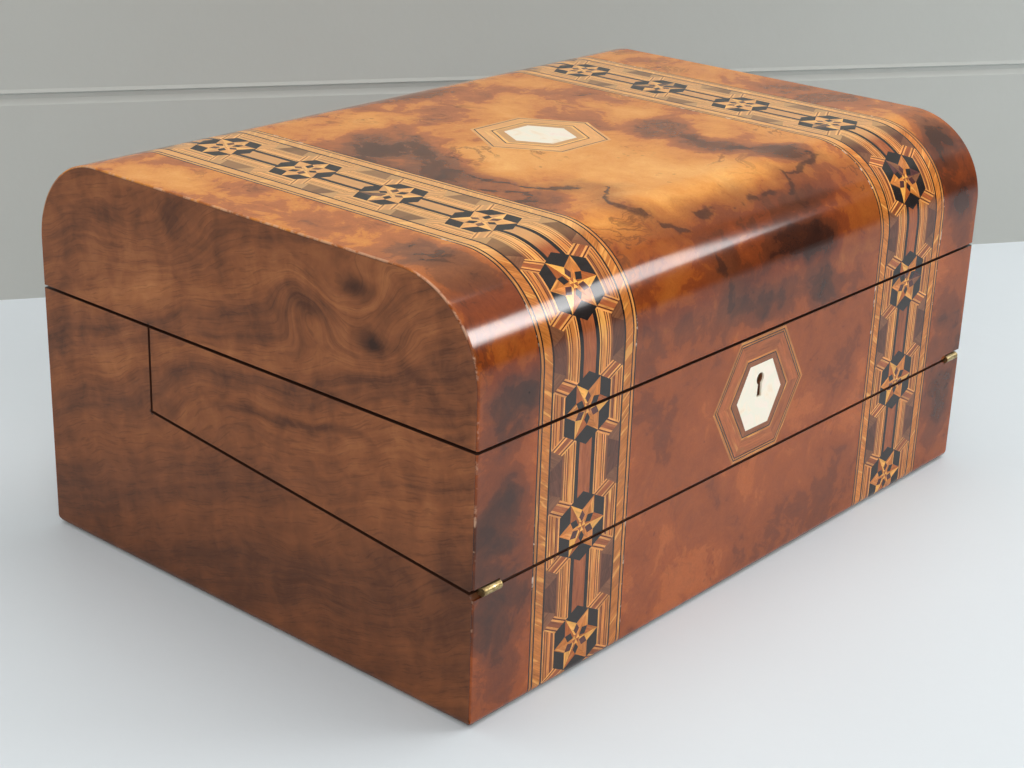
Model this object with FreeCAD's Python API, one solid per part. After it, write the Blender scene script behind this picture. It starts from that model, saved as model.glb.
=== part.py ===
"""Domed walnut writing box with a fold-out writing slope.

Units are millimetres. +Z is up, +X is to the right and the front faces -Y. The origin is at the
middle of the underside. Each function below makes the pieces of one part of the box.
"""
import FreeCAD, Part
import math
import os

V = FreeCAD.Vector

# Overall size and the joints between base, folding wedge and lid
WIDTH = 355.0
DEPTH = 250.0
HEIGHT = 172.0
LID_JOINT_Z = 112.0
FOLD_FRONT_Z = LID_JOINT_Z / 2
STEP_Y = 55.0
STEP_Z = 74.5
GAP = 1.3
DOME_R = 39.0

# Boards and skins
WALL = 9.0
VENEER = 0.9
FOOT_ROUND = 4.0
ARRIS = 0.7
BOTTOM_T = 6.0
WEDGE_TOP_T = 6.0
RISER_T = 6.0
FLAP_T = 5.0
FLAP_GAP = 0.1
SKIN_T = 0.8
SKIN_SINK = 0.05
LINING_T = 0.8

# Parquetry bands
BAND_X = 116.5
BAND_W = 56.8

# Pearl plaques and their frames: half width at the side points, half width and half height of the flat sides
FRAME_OUTER = (33.2, 16.4, 27.2)
FRAME_MIDDLE_OUT = (29.6, 14.6, 24.2)
FRAME_MIDDLE_IN = (22.0, 10.8, 18.6)
PEARL = (16.2, 8.1, 14.3)
ESCUTCHEON_Z = 84.0
KEYHOLE_Z = 91.3
KEYHOLE_R = 2.7
KEYHOLE_NECK_W = 2.6
KEYHOLE_FOOT_W = 3.6
KEYHOLE_FOOT_Z = 83.2

# Brass hinges
FOLD_BARREL_R = 1.75
FOLD_PIN_R = 0.8
LID_BARREL_R = 2.3
LID_PIN_R = 1.0
PIN_CLEARANCE = 0.05
BARREL_CLEARANCE = 0.45
LEAF_T = 1.0
LEAF_PROUD = 0.1
LEAF_REACH = 7.6
FOLD_HINGE_START = 4.2
FOLD_HINGE_KNUCKLE = 3.3
LID_HINGE_X = 62.0
LID_HINGE_KNUCKLE = 8.4
KNUCKLE_GAP = 0.15
SCREW_R = 0.9
SCREW_LENGTH = 7.0
SCREW_HEAD_R = 1.44
SCREW_HEAD_T = 0.5
SCREW_INSET = 3.4
SCREW_ROW = 2.2
WEB_INSET = 0.4

# Rear compartment
FLOOR_Z = 58.0
FLOOR_T = 4.0
DIVIDER_X = 118.5
DIVIDER_T = 4.0
DIVIDER_TOP = 104.0
TRAY_DEPTH = 21.6
TRAY_BOTTOM = 90.0
RACK_T = 2.4
RACK_SHOULDER = 112.0
RACK_ARCH = 14.0
RACK_STEP = 8.0
TRAY_REST_W = 6.0
TRAY_END_WALL = 16.0
TRAY_SIDE_WALL = 2.2
TROUGH_SINK = 2.0
LEDGE_T = 6.0
LEDGE_W = 5.0

# Lock: case, sliding bolt with two claws, and the link plate's two hooks
LOCK_INSET = 5.5
LOCK_W = 42.0
LOCK_D = 6.0
LOCK_H = 30.0
LOCK_WALL = 1.0
HOOK_D = 2.4
HOOK_LEGS = (-8.5, 12.0)
HOOK_LEG_W = 2.5
HOOK_FOOT = 3.4
HOOK_FOOT_Z = (104.0, 106.0)
CLAW_Z = (107.0, 109.4)
CLAW_REACH = 3.5
CLAW_GAP = 0.4
BOLT_LEG_W = 2.5
BOLT_BAR_Z = (98.0, 101.6)

# Glass inkwells with a brass collar and a hinged cap
INKWELL = 43.0
INKWELL_BASE_T = 6.0
SHOULDER_Z = 94.0
SHOULDER_BEVEL = 3.0
NECK_R = 13.5
NECK_TOP = 98.5
WELL_R = 11.5
COLLAR_R = 16.5
CAP_TOP = 108.0
CAP_WALL = 1.2
CAP_ROUND = 2.5
CAP_HOLLOW = 6.5
CAP_BARREL_R = 1.5
CAP_PIN_R = 0.6
CAP_BRACKET_W = 3.0
CAP_HINGE_W = 10.0
CAP_KNUCKLE_GAP = 0.2
CAP_SEAT = 0.2
CAP_AXIS_LIFT = 0.3
CAP_ARM_DROP = 0.6
CAP_ARM_CLEAR = 0.9

# Play between loose pieces and what holds them, and the overlap that joins fused pieces
PLAY = 0.6
JOIN = 0.01

HALF_W = WIDTH / 2
HALF_D = DEPTH / 2
INNER_X = HALF_W - WALL
INNER_Y = HALF_D - WALL
CORE_Y = HALF_D - VENEER
RIM_Z = LID_JOINT_Z - GAP / 2
LID_RIM_Z = LID_JOINT_Z + GAP / 2
SLOPE = math.atan2(STEP_Z - FOLD_FRONT_Z, STEP_Y + HALF_D)
RISER_Y = STEP_Y + GAP / 2
BAY_Y = RISER_Y + RISER_T
INKWELL_Y = BAY_Y + INKWELL / 2 + PLAY
BAND_EDGES = (BAND_X - BAND_W / 2, BAND_X + BAND_W / 2)
LOCK_Y = -HALF_D + LOCK_INSET


def block(x0, x1, y0, y1, z0, z1):
    """A box between two corners."""
    return Part.makeBox(x1 - x0, y1 - y0, z1 - z0, V(x0, y0, z0))


def side_prism(points, x0, x1):
    """A closed outline of (y, z) points, drawn out from x0 to x1."""
    corners = [V(x0, y, z) for y, z in points]
    face = Part.Face(Part.makePolygon(corners + corners[:1]))
    return face.extrude(V(x1 - x0, 0, 0))


def rod(radius, x0, x1, y, z):
    """A round bar along X."""
    return Part.makeCylinder(radius, x1 - x0, V(x0, y, z), V(1, 0, 0))


def disc(radius, x, y, z0, z1):
    """An upright round bar between two heights."""
    return Part.makeCylinder(radius, z1 - z0, V(x, y, z0))


def mirrored(shape):
    """The same shape on the other side of the box's middle."""
    return shape.mirror(V(0, 0, 0), V(1, 0, 0))


def both_sides(shape):
    """A shape and its mirror image."""
    return [shape, mirrored(shape)]


def cut_all(shape, tools):
    """The shape with every tool cut away."""
    for tool in tools:
        shape = shape.cut(tool)
    return shape


def hexagon(size, depth):
    """A hexagonal plate with its points to left and right, in the XZ plane, depth deep along +Y."""
    tip, flat, height = size
    outline = [(tip, 0), (flat, height), (-flat, height), (-tip, 0), (-flat, -height), (flat, -height)]
    corners = [V(x, 0, z) for x, z in outline]
    return Part.Face(Part.makePolygon(corners + corners[:1])).extrude(V(0, depth, 0))


def lay_on_front(plate):
    """Move a plate from the XZ plane to the escutcheon's place."""
    plate.translate(V(0, -HALF_D, ESCUTCHEON_Z))
    return plate


def lay_on_top(plate):
    """Turn a plate from the XZ plane into the top of the lid."""
    plate.rotate(V(0, 0, 0), V(1, 0, 0), -90)
    plate.translate(V(0, 0, HEIGHT))
    return plate


def fold_z(y, offset):
    """Height of the sloping joint at y, moved square to its plane by offset."""
    return FOLD_FRONT_Z + (y + HALF_D) * math.tan(SLOPE) + offset / math.cos(SLOPE)


def slope_slab(low, high, y0, y1, x0, x1):
    """A slab along the sloping joint, between two offsets square to it."""
    points = [(y0, fold_z(y0, low)), (y1, fold_z(y1, low)), (y1, fold_z(y1, high)), (y0, fold_z(y0, high))]
    return side_prism(points, x0, x1)


def save(node, shapes):
    """Write one node as a STEP file: a single solid, or a group of separate solids."""
    solids = [solid for shape in shapes for solid in shape.Solids]
    for solid in solids:
        if not solid.isValid():
            print("invalid solid in", node)
    result = solids[0] if len(solids) == 1 else Part.makeCompound(solids)
    result.exportStep(os.path.join("parts", node + ".step"))


# Regions of the closed box

def rounded_box():
    """The box below the lid joint, with its foot and upright corners rounded."""
    body = block(-HALF_W, HALF_W, -HALF_D, HALF_D, 0, RIM_Z)
    upright = [e for e in body.Edges if abs(e.Vertexes[0].Z - e.Vertexes[-1].Z) > 1]
    body = body.makeFillet(ARRIS, upright)
    foot = [e for e in body.Edges if e.BoundBox.ZMax < 0.01]
    return body.makeFillet(FOOT_ROUND, foot)


def base_region():
    """Everything below the sloping joint, and the tall part behind the step."""
    far = HALF_D + WALL
    return side_prism([(-far, -1), (far, -1), (far, RIM_Z), (RISER_Y, RIM_Z),
                       (RISER_Y, fold_z(RISER_Y, -GAP / 2)), (-far, fold_z(-far, -GAP / 2))],
                      -HALF_W, HALF_W)


def wedge_region():
    """Everything between the sloping joint and the lid joint, in front of the step."""
    far = HALF_D + WALL
    back = STEP_Y - GAP / 2
    return side_prism([(-far, fold_z(-far, GAP / 2)), (back, fold_z(back, GAP / 2)),
                       (back, RIM_Z), (-far, RIM_Z)], -HALF_W, HALF_W)


def dome(inset, x0, x1):
    """The lid's cross-section, moved in from its outside by inset and drawn out from x0 to x1."""
    half = HALF_D - inset
    top = HEIGHT - inset
    radius = DOME_R - inset
    turn = radius * math.sqrt(0.5)
    middle_y = HALF_D - DOME_R
    middle_z = HEIGHT - DOME_R
    front_foot = V(x0, -half, LID_RIM_Z)
    front_spring = V(x0, -half, middle_z)
    front_turn = V(x0, -middle_y - turn, middle_z + turn)
    front_top = V(x0, -middle_y, top)
    rear_top = V(x0, middle_y, top)
    rear_turn = V(x0, middle_y + turn, middle_z + turn)
    rear_spring = V(x0, half, middle_z)
    rear_foot = V(x0, half, LID_RIM_Z)
    edges = [
        Part.LineSegment(front_foot, front_spring),
        Part.Arc(front_spring, front_turn, front_top),
        Part.LineSegment(front_top, rear_top),
        Part.Arc(rear_top, rear_turn, rear_spring),
        Part.LineSegment(rear_spring, rear_foot),
        Part.LineSegment(rear_foot, front_foot),
    ]
    wire = Part.Wire([edge.toShape() for edge in edges])
    return Part.Face(wire).extrude(V(x1 - x0, 0, 0))


def rounded_dome():
    """The outside of the lid, with the edges round its two ends softened."""
    body = dome(0, -HALF_W, HALF_W)
    at_ends = [e for e in body.Edges if e.BoundBox.XLength < 0.01 and e.BoundBox.ZMax > LID_RIM_Z + 1]
    return body.makeFillet(ARRIS, at_ends)


# Hinge barrels and the room they need in the wood

def fold_hinge_span():
    """Start and end, along X, of the left fold hinge's barrel."""
    start = -HALF_W + FOLD_HINGE_START
    return start, start + 3 * FOLD_HINGE_KNUCKLE


def fold_hinge_room():
    """Round notches for the fold hinges, open at the corners of the box."""
    end = fold_hinge_span()[1] + KNUCKLE_GAP
    return both_sides(rod(FOLD_BARREL_R + BARREL_CLEARANCE, -HALF_W - 1, end, -HALF_D, FOLD_FRONT_Z))


def lid_hinge_spans():
    """Start and end, along X, of the left lid hinge's barrel."""
    half = 1.5 * LID_HINGE_KNUCKLE
    return -LID_HINGE_X - half, -LID_HINGE_X + half


def lid_hinge_room():
    """Round notches for the two lid hinges."""
    start, end = lid_hinge_spans()
    return both_sides(rod(LID_BARREL_R + BARREL_CLEARANCE, start - KNUCKLE_GAP, end + KNUCKLE_GAP,
                          HALF_D, LID_JOINT_Z))


def knuckle(radius, pin, start, end, y, z):
    """One hinge knuckle with its bore."""
    barrel = rod(radius, start, end, y, z)
    return barrel.cut(rod(pin + PIN_CLEARANCE, start - 1, end + 1, y, z))


def fold_leaf_room(low, high):
    """The recesses that the fold hinge leaves lie in."""
    start, end = fold_hinge_span()
    return both_sides(slope_slab(low, high, -HALF_D, -HALF_D + LEAF_REACH, start, end))


def fold_leaf(side, knuckles):
    """One fold hinge leaf with its knuckles. side is -1 on the base and 1 on the wedge."""
    start, end = fold_hinge_span()
    near = GAP / 2 - LEAF_PROUD
    low, high = sorted((side * near, side * (near + LEAF_T)))
    clear_y = -HALF_D + FOLD_BARREL_R + BARREL_CLEARANCE
    leaf = slope_slab(low, high, clear_y, -HALF_D + LEAF_REACH, start, end)
    for index in knuckles:
        x0 = start + index * FOLD_HINGE_KNUCKLE + KNUCKLE_GAP / 2
        x1 = start + (index + 1) * FOLD_HINGE_KNUCKLE - KNUCKLE_GAP / 2
        leaf = leaf.fuse(slope_slab(low, high, -HALF_D + FOLD_PIN_R + WEB_INSET, clear_y + JOIN, x0, x1))
        leaf = leaf.fuse(knuckle(FOLD_BARREL_R, FOLD_PIN_R, x0, x1, -HALF_D, FOLD_FRONT_Z))
    screws = fold_screws(side)
    return [cut_all(half, screws) for half in both_sides(leaf.removeSplitter())]


def lid_hinge_leaf(side, knuckles):
    """One lid hinge leaf with its knuckles. side is -1 on the base and 1 on the lid."""
    start, end = lid_hinge_spans()
    near = GAP / 2 - LEAF_PROUD
    z0, z1 = sorted((LID_JOINT_Z + side * near, LID_JOINT_Z + side * (near + LEAF_T)))
    clear_y = HALF_D - LID_BARREL_R - BARREL_CLEARANCE
    leaf = block(start, end, HALF_D - LEAF_REACH, clear_y, z0, z1)
    for index in knuckles:
        x0 = start + index * LID_HINGE_KNUCKLE + KNUCKLE_GAP / 2
        x1 = start + (index + 1) * LID_HINGE_KNUCKLE - KNUCKLE_GAP / 2
        leaf = leaf.fuse(block(x0, x1, clear_y - JOIN, HALF_D - LID_PIN_R - WEB_INSET, z0, z1))
        leaf = leaf.fuse(knuckle(LID_BARREL_R, LID_PIN_R, x0, x1, HALF_D, LID_JOINT_Z))
    screws = lid_screws(side)
    return [cut_all(half, screws) for half in both_sides(leaf.removeSplitter())]


def lid_leaf_room(side):
    """The recesses that the lid hinge leaves lie in."""
    start, end = lid_hinge_spans()
    z0, z1 = sorted((LID_JOINT_Z, LID_JOINT_Z + side * (GAP / 2 - LEAF_PROUD + LEAF_T)))
    return both_sides(block(start, end, HALF_D - LEAF_REACH, HALF_D + 1, z0, z1))


def screw(point, direction):
    """One flat-headed brass screw, its head's top at point."""
    head = Part.makeCylinder(SCREW_HEAD_R, SCREW_HEAD_T, point, direction)
    shank = Part.makeCylinder(SCREW_R, SCREW_LENGTH, point, direction)
    return head.fuse(shank).removeSplitter()


def fold_screws(side):
    """Two screws in each fold hinge leaf. side is -1 for the base and 1 for the wedge."""
    start, end = fold_hinge_span()
    y = -HALF_D + LEAF_REACH - SCREW_ROW
    z = fold_z(y, side * (GAP / 2 - LEAF_PROUD))
    direction = V(0, -math.sin(SLOPE), math.cos(SLOPE)) * side
    screws = []
    for x in (start + SCREW_INSET / 2, end - SCREW_INSET):
        screws += both_sides(screw(V(x, y, z), direction))
    return screws


def lid_screws(side):
    """Two screws in each lid hinge leaf. side is -1 for the base and 1 for the lid."""
    start, end = lid_hinge_spans()
    z = LID_JOINT_Z + side * (GAP / 2 - LEAF_PROUD)
    screws = []
    for x in (start + SCREW_INSET, end - SCREW_INSET):
        screws += both_sides(screw(V(x, HALF_D - LEAF_REACH + SCREW_ROW, z), V(0, 0, side)))
    return screws


# The base

def front_strips(region, outline, y0, y1):
    """The strips of a front skin beside and between the bands."""
    inner, outer = BAND_EDGES
    spans = [(-HALF_W, -outer), (-inner, inner), (outer, HALF_W)]
    return [block(x0, x1, y0, y1, 0, RIM_Z).common(outline).common(region) for x0, x1 in spans]


def band_strips(region, outline, y0, y1):
    """The two bands of a front skin."""
    inner, outer = BAND_EDGES
    return both_sides(block(-outer, -inner, y0, y1, 0, RIM_Z).common(outline).common(region))


def make_base(outline):
    """Carcass, veneers and ledges of the base."""
    region = base_region()
    room = fold_hinge_room() + fold_leaf_room(-GAP / 2 - LEAF_T + LEAF_PROUD, 0) + fold_screws(-1)
    rear_room = lid_hinge_room() + lid_leaf_room(-1) + lid_screws(-1)
    end = block(-HALF_W, -INNER_X, -CORE_Y, CORE_Y, 0, RIM_Z).common(outline).common(region)
    end = cut_all(end, room)
    save("base_left_end", [end])
    save("base_right_end", [mirrored(end)])
    front = block(-INNER_X, INNER_X, -CORE_Y, -INNER_Y, 0, RIM_Z).common(outline).common(region)
    save("base_front_board", [cut_all(front, room)])
    rear = block(-INNER_X, INNER_X, INNER_Y, CORE_Y, 0, RIM_Z).common(outline)
    save("base_rear_board", [cut_all(rear, rear_room)])
    save("base_bottom_board", [block(-INNER_X, INNER_X, -INNER_Y, INNER_Y, 0, BOTTOM_T)])
    save("riser_board", [block(-INNER_X, INNER_X, RISER_Y, BAY_Y, BOTTOM_T, RIM_Z)])
    strips = front_strips(region, outline, -HALF_D, -CORE_Y)
    save("base_front_veneer", [cut_all(strip, room) for strip in strips])
    save("base_front_bands", band_strips(region, outline, -HALF_D, -CORE_Y))
    back = block(-HALF_W, HALF_W, CORE_Y, HALF_D, 0, RIM_Z).common(outline)
    save("base_rear_veneer", [cut_all(back, rear_room)])
    below = -GAP / 2 - SKIN_T - FLAP_T
    ledge = slope_slab(below - LEDGE_T, below, -INNER_Y, RISER_Y, -INNER_X, -INNER_X + LEDGE_W)
    save("base_flap_ledges", both_sides(ledge))


# The folding wedge

def keyhole(y0, y1):
    """The keyhole's round head and flared foot, cut through from y0 to y1."""
    head = Part.makeCylinder(KEYHOLE_R, y1 - y0, V(0, y0, KEYHOLE_Z), V(0, 1, 0))
    half_top = KEYHOLE_NECK_W / 2
    half_foot = KEYHOLE_FOOT_W / 2
    corners = [V(-half_top, y0, KEYHOLE_Z), V(half_top, y0, KEYHOLE_Z),
               V(half_foot, y0, KEYHOLE_FOOT_Z), V(-half_foot, y0, KEYHOLE_FOOT_Z)]
    foot = Part.Face(Part.makePolygon(corners + corners[:1])).extrude(V(0, y1 - y0, 0))
    return head.fuse(foot)


def lock_box(grow):
    """The lock's outside, grown by a clearance."""
    return block(-LOCK_W / 2 - grow, LOCK_W / 2 + grow, LOCK_Y - LOCK_D / 2 - grow,
                 LOCK_Y + LOCK_D / 2 + grow, RIM_Z - LOCK_H - grow, RIM_Z)


def hook_room():
    """Slots in the lock's top through which the lid's hooks drop."""
    slots = []
    for leg in HOOK_LEGS:
        slots.append(block(leg - HOOK_FOOT - PLAY, leg + HOOK_LEG_W + PLAY, LOCK_Y - HOOK_D / 2 - PLAY,
                           LOCK_Y + HOOK_D / 2 + PLAY, RIM_Z - 2 * LOCK_WALL, RIM_Z + 1))
    return slots


def make_lock():
    """Lock case, sliding hooked bolt, and the hooked link plate on the lid."""
    inside = block(-LOCK_W / 2 + LOCK_WALL, LOCK_W / 2 - LOCK_WALL, LOCK_Y - LOCK_D / 2 + LOCK_WALL,
                   LOCK_Y + LOCK_D / 2 - LOCK_WALL, RIM_Z - LOCK_H + LOCK_WALL, RIM_Z - LOCK_WALL)
    case = lock_box(0).cut(inside)
    case = cut_all(case, hook_room() + [keyhole(-HALF_D, LOCK_Y)])
    save("lock_case", [case])
    y0 = LOCK_Y - HOOK_D / 2
    y1 = LOCK_Y + HOOK_D / 2
    uprights = [leg - HOOK_FOOT - CLAW_GAP - CLAW_REACH for leg in HOOK_LEGS]
    bolt = block(uprights[0] - BOLT_LEG_W, uprights[1], y0, y1, *BOLT_BAR_Z)
    plate = block(-LOCK_W / 2, LOCK_W / 2, LOCK_Y - LOCK_D / 2, LOCK_Y + LOCK_D / 2,
                  LID_RIM_Z, LID_RIM_Z + LOCK_WALL)
    for leg, upright in zip(HOOK_LEGS, uprights):
        bolt = bolt.fuse(block(upright - BOLT_LEG_W, upright, y0, y1, BOLT_BAR_Z[0], CLAW_Z[1]))
        bolt = bolt.fuse(block(upright - JOIN, upright + CLAW_REACH, y0, y1, *CLAW_Z))
        plate = plate.fuse(block(leg, leg + HOOK_LEG_W, y0, y1, HOOK_FOOT_Z[0], LID_RIM_Z + JOIN))
        plate = plate.fuse(block(leg - HOOK_FOOT, leg + JOIN, y0, y1, *HOOK_FOOT_Z))
    save("lock_bolt", [bolt.removeSplitter()])
    save("link_plate", [plate.removeSplitter()])


def make_wedge(outline):
    """Carcass, veneers and ledges of the folding wedge."""
    region = wedge_region()
    back = STEP_Y - GAP / 2
    room = fold_hinge_room() + fold_leaf_room(0, GAP / 2 + LEAF_T - LEAF_PROUD) + fold_screws(1)
    end = block(-HALF_W, -INNER_X, -CORE_Y, back, 0, RIM_Z).common(outline).common(region)
    end = cut_all(end, room)
    save("wedge_left_end", [end])
    save("wedge_right_end", [mirrored(end)])
    front = block(-INNER_X, INNER_X, -CORE_Y, -INNER_Y, 0, RIM_Z).common(region)
    lock_room = lock_box(0).fuse(block(-LOCK_W / 2, LOCK_W / 2, LOCK_Y, -INNER_Y + 1,
                                       RIM_Z - LOCK_H, RIM_Z))
    front = cut_all(front, room + [lock_room, keyhole(-HALF_D, LOCK_Y)])
    save("wedge_front_board", [front])
    save("wedge_rear_board", [block(-INNER_X, INNER_X, back - WALL + VENEER, back, 0, RIM_Z).common(region)])
    save("wedge_top_board", [block(-INNER_X, INNER_X, -INNER_Y, back - WALL + VENEER,
                                   RIM_Z - WEDGE_TOP_T, RIM_Z)])
    frame = lay_on_front(hexagon(FRAME_OUTER, VENEER))
    strips = front_strips(region, outline, -HALF_D, -CORE_Y)
    save("wedge_front_veneer", [cut_all(strip, room + [frame]) for strip in strips])
    save("wedge_front_bands", band_strips(region, outline, -HALF_D, -CORE_Y))
    make_frame("escutcheon", lay_on_front)
    pearl = lay_on_front(hexagon(PEARL, VENEER)).cut(keyhole(-HALF_D - 1, LOCK_Y))
    save("escutcheon_pearl", [pearl])
    above = GAP / 2 + SKIN_T + FLAP_T
    ledge_end = back - WALL + VENEER
    ledge = slope_slab(above, above + LEDGE_T, -INNER_Y, ledge_end, -INNER_X, -INNER_X + LEDGE_W)
    save("wedge_flap_ledges", both_sides(ledge))


def make_frame(name, lay):
    """The three rings round a plaque: outer string, cross-banded middle and inner string."""
    sizes = (FRAME_OUTER, FRAME_MIDDLE_OUT, FRAME_MIDDLE_IN, PEARL)
    rings = [lay(hexagon(outer, VENEER).cut(hexagon(inner, VENEER)))
             for outer, inner in zip(sizes, sizes[1:])]
    save(name + "_frame", rings)


# The lid

def make_lid():
    """Carcass, veneer, bands, plaque and lining of the domed lid."""
    outline = rounded_dome()
    room = lid_hinge_room() + lid_leaf_room(1) + lid_screws(1)
    core = dome(VENEER, -HALF_W, HALF_W)
    hollow = dome(WALL, -HALF_W, HALF_W)
    skin = outline.cut(core)
    skin = cut_all(skin, room)
    split_y = HALF_D - DOME_R
    end = core.common(outline).common(block(-HALF_W, -INNER_X, -HALF_D, HALF_D, 0, HEIGHT))
    save("lid_left_end", [end])
    save("lid_right_end", [mirrored(end)])
    shell = core.cut(hollow).common(block(-INNER_X, INNER_X, -HALF_D, HALF_D, 0, HEIGHT))
    plate_room = block(-LOCK_W / 2, LOCK_W / 2, LOCK_Y - LOCK_D / 2, LOCK_Y + LOCK_D / 2,
                       LID_RIM_Z - 1, LID_RIM_Z + LOCK_WALL)
    front = shell.common(block(-HALF_W, HALF_W, -HALF_D, -split_y, 0, HEIGHT))
    save("lid_front_board", [front.cut(plate_room)])
    save("lid_top_board", [shell.common(block(-HALF_W, HALF_W, -split_y, split_y, 0, HEIGHT))])
    rear = shell.common(block(-HALF_W, HALF_W, split_y, HALF_D, 0, HEIGHT))
    save("lid_rear_board", [cut_all(rear, room)])
    inner, outer = BAND_EDGES
    frame = lay_on_top(hexagon(FRAME_OUTER, VENEER))
    strips = []
    for x0, x1 in [(-HALF_W, -outer), (-inner, inner), (outer, HALF_W)]:
        strips.append(skin.common(block(x0, x1, -HALF_D, HALF_D, 0, HEIGHT)).cut(frame))
    save("lid_veneer", strips)
    save("lid_bands", both_sides(skin.common(block(-outer, -inner, -HALF_D, HALF_D, 0, HEIGHT))))
    make_frame("plaque", lay_on_top)
    save("plaque_pearl", [lay_on_top(hexagon(PEARL, VENEER))])
    ceiling = HEIGHT - WALL
    save("lid_lining", [block(-INNER_X, INNER_X, -split_y, split_y, ceiling - LINING_T, ceiling)])


# Hinges

def make_hinges():
    """Fold hinges at the front corners and lid hinges at the back, with pins and screws."""
    save("fold_hinge_base_leaves", fold_leaf(-1, (0, 2)))
    save("fold_hinge_wedge_leaves", fold_leaf(1, (1,)))
    start, end = fold_hinge_span()
    save("fold_hinge_pins", both_sides(rod(FOLD_PIN_R, start, end, -HALF_D, FOLD_FRONT_Z)))
    save("lid_hinge_base_leaves", lid_hinge_leaf(-1, (0, 2)))
    save("lid_hinge_lid_leaves", lid_hinge_leaf(1, (1,)))
    start, end = lid_hinge_spans()
    save("lid_hinge_pins", both_sides(rod(LID_PIN_R, start, end, HALF_D, LID_JOINT_Z)))
    save("base_hinge_screws", fold_screws(-1) + lid_screws(-1))
    save("wedge_hinge_screws", fold_screws(1))
    save("lid_hinge_screws", lid_screws(1))


# The writing flaps

def make_flap(name, side, back):
    """One writing flap and its skin. side is -1 on the base and 1 on the wedge."""
    near = side * (GAP / 2 + SKIN_SINK)
    skin_end = near + side * SKIN_T
    board_end = side * (GAP / 2 + SKIN_T + FLAP_T - FLAP_GAP)
    front = -INNER_Y + PLAY
    half = INNER_X - PLAY
    save(name + "_skin", [slope_slab(*sorted((near, skin_end)), front, back - PLAY, -half, half)])
    board = slope_slab(*sorted((skin_end, board_end)), front, back - PLAY, -half, half)
    save(name + "_board", [board])


# The rear compartment

def arched_board(y0, half_width, low, shoulder, crown):
    """An upright board along X with an arched top."""
    points = [V(-half_width, y0, low), V(-half_width, y0, shoulder), V(0, y0, crown),
              V(half_width, y0, shoulder), V(half_width, y0, low)]
    edges = [Part.LineSegment(points[4], points[0]), Part.LineSegment(points[0], points[1]),
             Part.Arc(points[1], points[2], points[3]), Part.LineSegment(points[3], points[4])]
    return Part.Face(Part.Wire([e.toShape() for e in edges])).extrude(V(0, RACK_T, 0))


def make_compartment():
    """Floor, dividers, letter rack and tray rests of the rear compartment."""
    save("compartment_floor", [block(-INNER_X, INNER_X, BAY_Y, INNER_Y, FLOOR_Z - FLOOR_T, FLOOR_Z)])
    divider = block(-DIVIDER_X - DIVIDER_T, -DIVIDER_X, BAY_Y, INNER_Y, FLOOR_Z, DIVIDER_TOP)
    save("bay_dividers", both_sides(divider))
    rack_y = BAY_Y + TRAY_DEPTH + 2 * PLAY
    pitch = (INNER_Y - rack_y) / 3
    for index, name in enumerate(("front", "middle", "rear")):
        shoulder = RACK_SHOULDER + RACK_STEP * index
        board = arched_board(rack_y + index * pitch, DIVIDER_X, FLOOR_Z, shoulder, shoulder + RACK_ARCH)
        save("letter_rack_" + name, [board])
    rest_end = -DIVIDER_X + TRAY_REST_W
    rest = block(-DIVIDER_X, rest_end, BAY_Y, BAY_Y + TRAY_DEPTH, FLOOR_Z, TRAY_BOTTOM)
    behind_inkwell = INKWELL_Y + INKWELL / 2 + PLAY
    packing = block(-INNER_X, -DIVIDER_X - DIVIDER_T, behind_inkwell, INNER_Y, FLOOR_Z, TRAY_BOTTOM)
    save("compartment_packing", both_sides(rest) + both_sides(packing))


def make_pen_tray():
    """The lift-out pen tray: a block with a long rounded trough."""
    half = DIVIDER_X - PLAY
    y0 = BAY_Y + PLAY / 2
    y1 = BAY_Y + TRAY_DEPTH
    tray = block(-half, half, y0, y1, TRAY_BOTTOM, DIVIDER_TOP)
    middle = (y0 + y1) / 2
    radius = (y1 - y0) / 2 - TRAY_SIDE_WALL
    end = half - TRAY_END_WALL
    axis_z = DIVIDER_TOP - TROUGH_SINK
    trough = rod(radius, -end, end, middle, axis_z)
    above = block(-end, end, middle - radius, middle + radius, axis_z, DIVIDER_TOP + 1)
    for x in (-end, end):
        trough = trough.fuse(Part.makeSphere(radius, V(x, middle, axis_z)))
        above = above.fuse(Part.makeCylinder(radius, TROUGH_SINK + 1, V(x, middle, axis_z)))
    save("pen_tray", [tray.cut(trough).cut(above)])


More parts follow.
